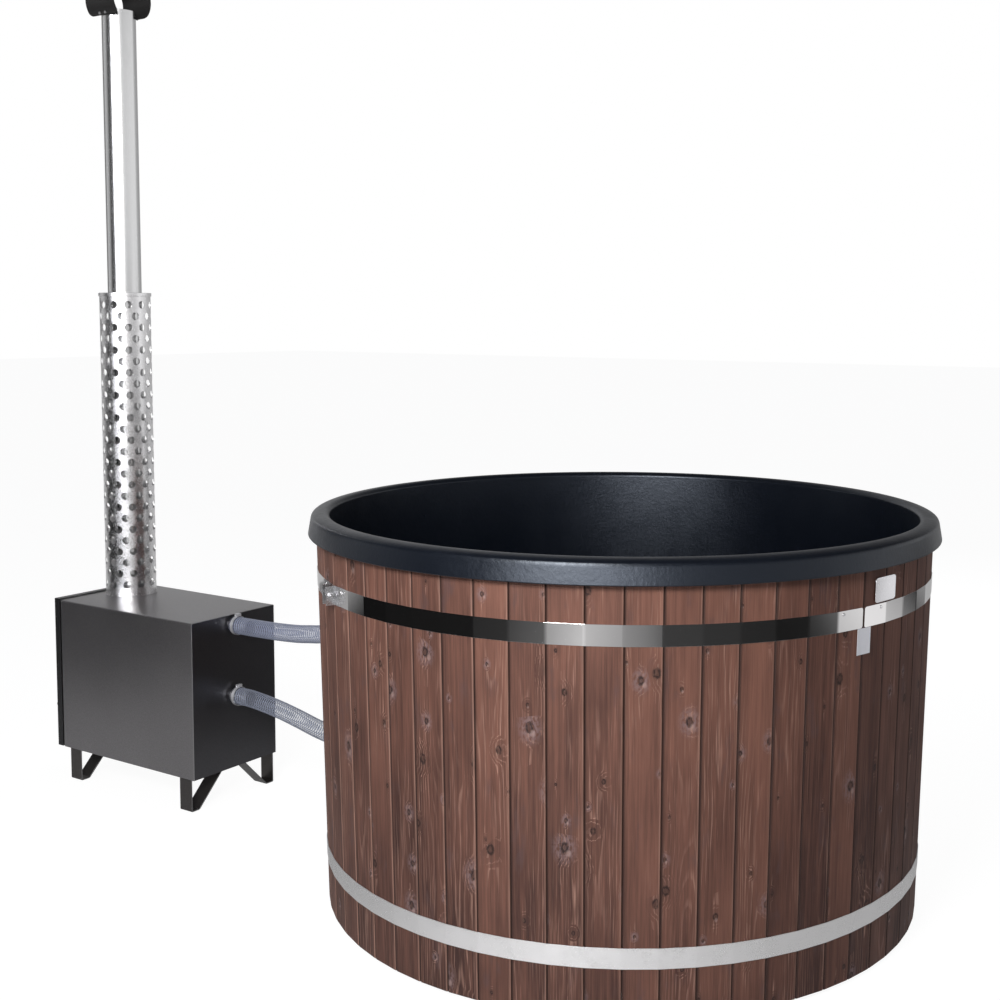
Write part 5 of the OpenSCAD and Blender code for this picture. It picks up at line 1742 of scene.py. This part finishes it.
@dataclass
class Casing:
    """Folded cover, end panel, floor pan and front frame."""

    shape: HeaterShape
    bend: float = 0.004
    bend_steps: int = 5
    round: float = 0.0004
    # How far the paler cut edge reaches: wear and a painted highlight.
    worn: float = 0.0035
    hem: float = 0.0006
    flue_hole_r: float = 0.0608
    drill_half: float = 0.02

    def _fold(self, radius: float, half: float, top: float, low: float) -> Array:
        """A line up one side, round a bend, over the top, round a bend and down the other side."""
        left = arc((half - radius, top - radius), radius, 0, 90, self.bend_steps)
        right = arc((radius - half, top - radius), radius, 90, 180, self.bend_steps)
        rise = [(half, low), (half, low + self.hem), (half, (low + top) / 2)]
        fall = [(-side, height) for side, height in rise[::-1]]
        return np.array(rise + left + [(0.0, top)] + right + fall)

    def cover(self) -> bpy.types.Object:
        """Makes the cover.

        The folded line and the same line one sheet further in are carried along the casing. The first
        and last sections are a little smaller, which rounds the cut edges; "edge" is 1 near them, where
        wear and a painted highlight make the sheet paler.

        Returns:
            The piece.
        """
        s = self.shape
        half = s.width / 2
        outer = self._fold(self.bend, half, s.top_z, s.low_z)
        inner = self._fold(self.bend - s.sheet, half - s.sheet, s.top_z - s.sheet, s.low_z)
        near = np.array([0.0, self.round, self.worn])
        along = np.concatenate([near, [s.length / 2], s.length - near[::-1]])
        piece = Piece("heater_cover")
        fold_along(piece, s, (outer, inner), along, self.round, (1, 1, 0, 0, 0, 1, 1))
        # The cover takes the paler copy of the casing's coat: painted light.
        made = piece.finish(Surfaces.LIT_SHEET, ("casing_cover",), 20.0)
        face_out(made.data)
        x, y = s.flue
        start = np.array([x, y, s.top_z - self.drill_half])
        drilled(made, [Drill(start, np.array([0, 0, 1.0]), 2 * self.drill_half, self.flue_hole_r, 64)])
        return made

    def build(self) -> list[bpy.types.Object]:
        """Makes the casing's pieces.

        Returns:
            The pieces.
        """
        return [
            self.cover(),
            # The end panel takes the darker copy of the casing's coat: painted shade.
            softened("casing_end_panel", Surfaces.SHADED_END, 0.0005),
            softened("casing_floor_pan", Surfaces.LIT_SHEET, 0.0005),
            softened("front_frame", Surfaces.DOOR, 0.0005),
            softened("water_jacket", Surfaces.MILL, 0.001),
            softened("stub_pipes", Surfaces.HARDWARE, 0.0006),
            softened("grate", Surfaces.IRON, 0.0015),
            softened("ash_pan", Surfaces.MILL, 0.0005),
            softened("leg_bolts", Surfaces.HARDWARE, 0.0004),
        ]


@dataclass
class Legs:
    """Four legs bent from flat strip: upright, foot, sloping brace and a tab."""

    shape: HeaterShape
    width: float = 0.055
    thick: float = 0.004
    foot: float = 0.034
    brace: float = 0.100
    tab: float = 0.030
    bend: float = 0.005
    round: float = 0.0005
    places: tuple[float, float] = (0.014, 0.570)

    def line(self) -> Array:
        """The strip's outer face, as (side, height) points with round bends."""
        half = self.shape.width / 2
        top = self.shape.low_z
        inner = half - self.foot - self.brace
        corners = [
            (half - self.tab, top), (half, top), (half, 0.0), (half - self.foot, 0.0),
            (inner, top - self.thick), (inner - self.tab, top - self.thick),
        ]
        return self._rounded(np.array(corners), [0.0025, self.bend, self.bend, self.bend * 0.5])

    @staticmethod
    def _rounded(corners: Array, radii: Sequence[float]) -> Array:
        """Rounds each inner corner of a line by a quadratic curve that starts a radius before it."""
        found = [corners[0]]
        for i in range(1, len(corners) - 1):
            a = corners[i] + unit(corners[i - 1] - corners[i]) * radii[i - 1]
            c = corners[i] + unit(corners[i + 1] - corners[i]) * radii[i - 1]
            for t in np.linspace(0, 1, 6):
                found.append(bent(a, corners[i], c, t))
        found.append(corners[-1])
        return np.array(found)

    def build(self) -> bpy.types.Object:
        """Makes the four legs.

        The outer line is pushed inwards by the thickness along its own normals, and both lines are
        carried along the strip's width; a share of a millimetre less at both sides rounds the edges.

        Returns:
            The piece.
        """
        outer = self.line()
        slope = unit(np.gradient(outer, axis=0))
        normal = np.stack([slope[:, 1], -slope[:, 0]], axis=1)
        inner = outer + normal * self.thick
        piece = Piece("strip_legs")
        for x in self.places:
            along = x + np.array([0.0, self.round, self.width - self.round, self.width])
            for side in ((1.0, 1.0), (-1.0, 1.0)):
                lines = (outer * side, inner * side)
                # The strip's edges are made paler: wear and a painted highlight.
                fold_along(piece, self.shape, lines, along, self.round, (0.5, 0, 0, 0.5))
        made = piece.finish(Surfaces.LEG, ("heater_legs",), 35.0)
        face_out(made.data)
        return made


@dataclass
class FireDoor:
    """Door, latch, hinges and air slide."""

    def build(self) -> list[bpy.types.Object]:
        """Dresses the door and what it carries.

        Returns:
            The pieces.
        """
        return [
            softened("door_panel", Surfaces.DOOR, 0.0012, 3, "door"),
            softened("door_liner", Surfaces.MILL, 0.0006, body="door"),
            softened("door_rope_seal", Surfaces.ROPE, 0.0035, 4, "door"),
            softened("door_hinge_knuckles", Surfaces.DOOR, 0.0005, body="door"),
            softened("casing_hinge_knuckles", Surfaces.DOOR, 0.0005),
            softened("hinge_pins", Surfaces.HARDWARE, 0.0005),
            softened("latch_handle", Surfaces.DOOR, 0.0010, 3, "latch"),
            softened("latch_finger", Surfaces.HARDWARE, 0.0006, body="latch"),
            softened("air_slide", Surfaces.HARDWARE, 0.0005, body="air_slide"),
            softened("air_slide_rails", Surfaces.DOOR, 0.0006, body="door"),
        ]


@dataclass
class Chimney:
    """Flue pipe, perforated guard with its rings, and the bent rain cap."""

    shape: HeaterShape
    pipe_r: float = 0.057
    pipe_t: float = 0.001
    pipe_low: float = 0.544
    pipe_top: float = 2.655
    pipe_worn: float = 0.0004
    pipe_bevel: float = 0.0003
    guard_r: float = 0.086
    guard_t: float = 0.0015
    guard_low: float = 0.628
    plain: float = 0.020
    rows: int = 26
    row_holes: int = 11
    pitch: float = 0.0392
    hole_r: float = 0.013
    hole_lip: float = 0.0004
    cut_edge: float = 0.0005
    cap_r: float = 0.080
    cap_w: float = 0.145
    cap_t: float = 0.0015
    cap_lift: float = 0.035
    cap_corner: float = 0.016
    cap_fit: float = 0.0003

    def pipe(self) -> bpy.types.Object:
        """Makes the pipe: its wall's section, with worn edges, is spun about the flue's axis."""
        r, t = self.pipe_r, self.pipe_t
        low, top, worn = self.pipe_low, self.pipe_top, self.pipe_worn
        line = [(r - t, low), (r - 0.5 * worn, low), (r, low + worn), (r, top - worn)]
        line += [(r - self.pipe_bevel, top), (r - t + self.pipe_bevel, top), (r - t, top - worn)]
        grid = spun(np.array(line), 128, self.shape.flue)
        piece = Piece("flue_tube").add(Grid(grid.points, wrap_rows=True, wrap_columns=True))
        made = piece.finish(Surfaces.PIPE, ("flue_pipe",), 40.0)
        face_out(made.data)
        return made

    def guard(self) -> bpy.types.Object:
        """Makes the perforated guard.

        Unrolled, the sheet is tiles of one hole each, a pitch high, and every second row is half a tile
        further round. A tile's rectangle has 8 steps along and 4 steps up, and its 24 border points are
        joined to 24 points on the hole's circle. The sheet is then rolled up, and given its thickness.
        """
        x, y = self.shape.flue
        mid_r = self.guard_r
        tile = 2 * np.pi * mid_r / self.row_holes
        half = np.array([tile / 2, self.pitch / 2])
        u = np.concatenate([np.linspace(-1, 1, 9)[:-1], np.ones(4), np.linspace(1, -1, 9)[:-1], -np.ones(4)])
        v = np.concatenate([-np.ones(8), np.linspace(-1, 1, 5)[:-1], np.ones(8), np.linspace(1, -1, 5)[:-1]])
        border = np.stack([u, v], 1) * half
        turn = np.arctan2(border[:, 1], border[:, 0])
        circle = self.hole_r * np.stack([np.cos(turn), np.sin(turn)], 1)
        lip = (self.hole_r + self.hole_lip) * np.stack([np.cos(turn), np.sin(turn)], 1)
        rings = np.stack([border, (border + 2 * lip) / 3, lip, circle])
        piece = Piece("guard_sheet")
        for row in range(self.rows):
            for k in range(self.row_holes):
                height = self.guard_low + self.plain + (row + 0.5) * self.pitch
                flat = rings + np.array([(k + (row % 2) / 2) * tile, height])
                piece.add(Grid(self._rolled(flat, x, y, mid_r), wrap_columns=True))
        count = self.row_holes * 8
        around = np.arange(count + 1) / count * 2 * np.pi * mid_r - tile / 2
        top = self.guard_low + 2 * self.plain + self.rows * self.pitch
        for low in (self.guard_low, top - self.plain):
            inside = (self.cut_edge, self.plain / 2, self.plain - self.cut_edge)
            heights = low + np.array([0.0, *inside, self.plain])
            flat = np.stack(np.meshgrid(around, heights), axis=2)
            piece.add(Grid(self._rolled(flat, x, y, mid_r)))
        made = piece.finish(Surfaces.GUARD, ("flue_guard",), 60.0, merge=2e-5)
        face_out(made.data, (x, y, None))
        return thickened(made, self.guard_t)

    @staticmethod
    def _rolled(flat: Array, x: float, y: float, r: float) -> Array:
        """Rolls a sheet of (length, height) points round the flue's axis."""
        turn = flat[..., 0] / r
        return np.stack([x - r * np.cos(turn), y - r * np.sin(turn), flat[..., 1]], axis=-1)

    def cap(self) -> bpy.types.Object:
        """Makes the rain cap.

        A strip is bent round an axis along X: its points are (x, angle). Near its two ends the width
        shrinks by a quarter circle, which rounds the four corners. It gets its thickness last.
        """
        x, y = self.shape.flue
        z = self.pipe_top + self.cap_lift
        end = math.degrees(math.acos((self.pipe_r + self.cap_fit) / (self.cap_r - self.cap_t)))
        total = math.radians(180 + 2 * end) * self.cap_r
        corner = self.cap_corner
        near = corner * (1 - np.cos(np.linspace(0, np.pi / 2, 9)))
        s = np.concatenate([near, np.linspace(corner, total - corner, 90)[1:-1], total - near[::-1]])
        half = self.cap_w / 2 - round_off(np.minimum(s, total - s).clip(0, corner), corner)
        along = np.concatenate([[-1, -0.985], np.linspace(-0.9, 0.9, 15), [0.985, 1]])
        turn = np.radians(-end) + s / self.cap_r
        px = x + half[:, None] * along[None]
        py = y + self.cap_r * np.cos(turn)[:, None] + 0 * px
        pz = z + self.cap_r * np.sin(turn)[:, None] + 0 * px
        piece = Piece("rain_hood").add(Grid(np.stack([px, py, pz], axis=2)))
        made = piece.finish(Surfaces.CAP, ("rain_cap",), 50.0)
        face_out(made.data, (None, y, z))
        return thickened(made, self.cap_t)

    def build(self) -> list[bpy.types.Object]:
        """Makes the chimney's pieces.

        Returns:
            The pieces.
        """
        return [
            self.pipe(),
            self.guard(),
            self.cap(),
            softened("flue_collar", Surfaces.HARDWARE, 0.0006),
            softened("guard_lower_ring", Surfaces.GUARD, 0.0008, 3),
            softened("guard_upper_ring", Surfaces.GUARD, 0.0008, 3),
            softened("rain_cap_screws", Surfaces.HARDWARE, 0.0004),
        ]


# ---------------------------------------------------------------- the studio


@dataclass
class Lamp:
    """A soft rectangular lamp.

    Attributes:
        name: its name.
        place: where it is.
        aim: the point that it faces.
        size: width and height.
        power: watts.
        colour: its light.
        shows: whether gloss shows it.
    """

    name: str
    place: tuple[float, float, float]
    aim: tuple[float, float, float]
    size: tuple[float, float]
    power: float
    colour: Colour
    shows: bool

    def build(self) -> bpy.types.Object:
        """Makes the lamp."""
        light = bpy.data.lights.new(self.name, "AREA")
        light.shape = "RECTANGLE"
        light.size, light.size_y = self.size
        light.energy = self.power
        light.color = self.colour
        made = linked(self.name, light)
        back = unit(np.array(self.place) - np.array(self.aim))
        side = unit(np.cross([0, 0, 1.0], back))
        made.matrix_world = matrix_of(side, np.cross(back, side), back, self.place)
        made.visible_camera = False
        made.visible_glossy = self.shows
        return made


def matrix_of(right: Array, up: Array, back: Array, place: Sequence[float]) -> Matrix:
    """A placing matrix from three directions and a point."""
    rows = [[float(right[i]), float(up[i]), float(back[i]), float(place[i])] for i in range(3)]
    return Matrix(rows + [[0.0, 0.0, 0.0, 1.0]])


@dataclass
class Studio:
    """Pale floor, soft lamps, a room that steel can reflect, and the camera."""

    eye: tuple[float, float, float] = (2.0033, -3.3408, 1.6240)
    forward: tuple[float, float, float] = (-0.54771, 0.83248, -0.08365)
    right: tuple[float, float, float] = (0.83522, 0.54990, 0.00381)
    lens: float = 50.05
    shift: tuple[float, float] = (-0.065, -0.070)
    floor_r: float = 40.0

    def camera(self) -> bpy.types.Object:
        """Makes the camera at the photographer's place."""
        data = bpy.data.cameras.new("view")
        data.sensor_width = 36.0
        data.sensor_fit = "HORIZONTAL"
        data.lens = self.lens
        data.shift_x, data.shift_y = self.shift
        data.clip_end = 200.0
        made = linked("view", data)
        back = -unit(self.forward)
        right = unit(self.right)
        right = unit(right - back * np.dot(right, back))
        made.matrix_world = matrix_of(right, np.cross(back, right), back, self.eye)
        bpy.context.scene.camera = made
        return made

    @staticmethod
    def _grey(*stops: tuple[float, float]) -> list[tuple[float, Colour]]:
        """Ramp stops from bearings in degrees and greys."""
        return [((bearing + 180.0) / 360.0, (grey, grey, grey * 1.01)) for bearing, grey in stops]

    def _bearing(self, graph: Graph, x: Val, y: Val) -> Val:
        """Where a level direction points: 0 at -180 degrees, 1 at 180 degrees."""
        turn = graph.value(graph.node("ShaderNodeMath", {"operation": "ARCTAN2"}, {0: y, 1: x}))
        return turn / (2 * math.pi) + 0.5

    def floor(self) -> bpy.types.Object:
        """Makes the pale floor.

        It looks white to the camera and takes the object's shadow. To gloss it glows with painted light: a
        pale patch near the object, brightest towards the key lamp, and a studio with dark and light sides
        further out.
        """
        r = self.floor_r
        mesh = bpy.data.meshes.new("floor")
        mesh.from_pydata([(-r, -r, 0), (r, -r, 0), (r, r, 0), (-r, r, 0)], [], [(0, 1, 2, 3)])
        made = linked("floor", mesh)
        paint = bpy.data.materials.new("studio_floor")
        paint.use_nodes = True
        graph = Graph(paint.node_tree)
        x, y, _ = graph.parts(graph.place())
        around = self._bearing(graph, x, y)
        far = graph.ramp(
            around,
            self._grey(
                (-180, 0.35), (-164, 0.40), (-161, 0.005), (-140, 0.010), (-108, 0.012), (-90, 0.06),
                (-78, 0.35), (-74, 0.78), (-66, 0.62), (-62, 0.33), (-53, 0.30), (-50, 0.06), (-5, 0.012),
                (8, 0.03), (20, 0.62), (24, 0.95), (40, 0.85), (48, 0.30), (56, 0.25), (59, 0.04),
                (68, 0.05), (73, 0.42), (150, 0.50),
            ),
        )
        # Painted light: the patch near the object glows as if the key lamp lit it, brightest towards that
        # lamp.
        sheet = graph.ramp(
            around,
            self._grey(
                (-180, 0.36), (-150, 0.38), (-120, 0.50), (-95, 0.75), (-72, 0.95), (-50, 0.72), (-25, 0.53),
                (30, 0.42), (62, 0.12), (100, 0.05), (150, 0.10), (168, 0.36),
            ),
        )
        dist = (x * x + y * y).root()
        seen = graph.blend(dist.step(3.7, 2.6), far, sheet)
        glow = graph.node("ShaderNodeEmission", None, {0: seen})
        pale = graph.node("ShaderNodeBsdfDiffuse", None, {0: (0.60, 0.60, 0.60, 1.0)})
        white = graph.node("ShaderNodeEmission", None, {0: (1.0, 1.0, 1.0, 1.0), 1: 1.18})
        path = graph.node("ShaderNodeLightPath")
        veil = graph.node("ShaderNodeMixShader", None, {0: 0.80, 1: pale.outputs[0], 2: white.outputs[0]})
        camera = graph.value(path, "Is Camera Ray")
        shine = graph.value(path, "Is Glossy Ray")
        first = graph.node("ShaderNodeMixShader", None, {0: shine, 1: pale.outputs[0], 2: glow.outputs[0]})
        both = graph.node("ShaderNodeMixShader", None, {0: camera, 1: first.outputs[0], 2: veil.outputs[0]})
        graph.node("ShaderNodeOutputMaterial", None, {0: both.outputs[0]})
        paint.cycles.emission_sampling = "NONE"
        mesh.materials.append(paint)
        return made

    def world(self) -> None:
        """Fills the world: white to the camera, soft grey light, and a studio for steel to reflect."""
        world = bpy.data.worlds.new("studio")
        bpy.context.scene.world = world
        world.use_nodes = True
        graph = Graph(world.node_tree)
        way = graph.value(graph.node("ShaderNodeTexCoord"), "Generated")
        x, y, z = graph.parts(way)
        around = self._bearing(graph, x, y)
        room = graph.ramp(
            around,
            self._grey(
                (-180, 0.15), (-168, 0.60), (-141, 0.45), (-128, 0.10), (-118, 0.07), (-101, 0.24),
                (-80, 0.58), (-60, 0.85), (-45, 1.0), (-35, 1.0), (-20, 0.80), (0, 0.85), (60, 0.90),
                (74, 0.45), (118, 0.35), (128, 0.55), (158, 0.60), (168, 0.12),
            ),
        )
        high = graph.ramp(
            around,
            self._grey(
                (-180, 0.15), (-150, 0.08), (-110, 0.06), (-60, 0.10), (-10, 0.08), (60, 0.08),
                (110, 0.20), (128, 0.44), (158, 0.48),
            ),
        )
        room = graph.blend(z.step(0.19, 0.32), room, high)
        window = around.step(0.220, 0.250) * around.step(0.368, 0.338)
        window = window * z.step(0.01, 0.05) * z.step(0.34, 0.24)
        room = graph.blend(window, room, (8.0, 8.1, 8.5))
        room = graph.blend(z.step(0.45, 0.85), room, (0.10, 0.10, 0.11))
        path = graph.node("ShaderNodeLightPath")
        shine = graph.value(path, "Is Glossy Ray")
        camera = graph.value(path, "Is Camera Ray").higher(graph.value(path, "Is Transmission Ray"))
        soft = graph.blend(z.step(-0.2, 0.9), (0.13, 0.13, 0.14), (0.20, 0.205, 0.22))
        colour = graph.blend(shine, soft, room)
        colour = graph.blend(camera, colour, (1.0, 1.0, 1.0))
        back = graph.node("ShaderNodeBackground", None, {0: colour})
        graph.node("ShaderNodeOutputWorld", None, {0: back.outputs[0]})
        world.cycles.sampling_method = "NONE"

    def build(self) -> None:
        """Makes the studio."""
        self.world()
        self.floor()
        warm, cool, plain = (1.0, 0.985, 0.97), (0.96, 0.98, 1.0), (1.0, 1.0, 1.0)
        for lamp in (
            Lamp("key", (0.75, -3.45, 2.60), (0.0, -0.7, 0.75), (1.2, 1.0), 118.0, warm, True),
            Lamp("left_fill", (-4.2, -3.6, 2.4), (-1.2, 0.0, 0.6), (1.8, 1.8), 18.0, cool, False),
            Lamp("rear_fill", (-0.8, 4.5, 3.2), (0.0, 0.0, 0.6), (2.5, 1.5), 60.0, plain, False),
        ):
            lamp.build()
        scene = bpy.context.scene
        scene.view_settings.view_transform = "Standard"


FRAME: dict[str, object] = {}


def build_all() -> None:
    """Makes the camera first, then every piece and the studio."""
    studio = Studio()
    studio.camera()
    tub = TubShape()
    heater = HeaterShape()
    makers: Iterable[tuple[str, Callable[[], object]]] = (
        ("hoses", Hoses().build),
        ("staves", StaveWall(tub).build),
        ("liner", MouldedLiner(tub).build),
        ("bands", SteelBands(tub).build),
        ("underside", TubUnderside().build),
        ("wall fittings", WallFittings().build),
        ("casing", Casing(heater).build),
        ("legs", Legs(heater).build),
        ("door", FireDoor().build),
        ("chimney", Chimney(heater).build),
        ("studio", studio.build),
    )
    for name, make in makers:
        make()
        LOG.info("%s done", name)


def main() -> None:
    """Loads the frame and builds the looks."""
    logging.basicConfig(level=logging.INFO, format="%(message)s")
    FRAME.update(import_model())
    build_all()


if __name__ == "__main__":
    main()
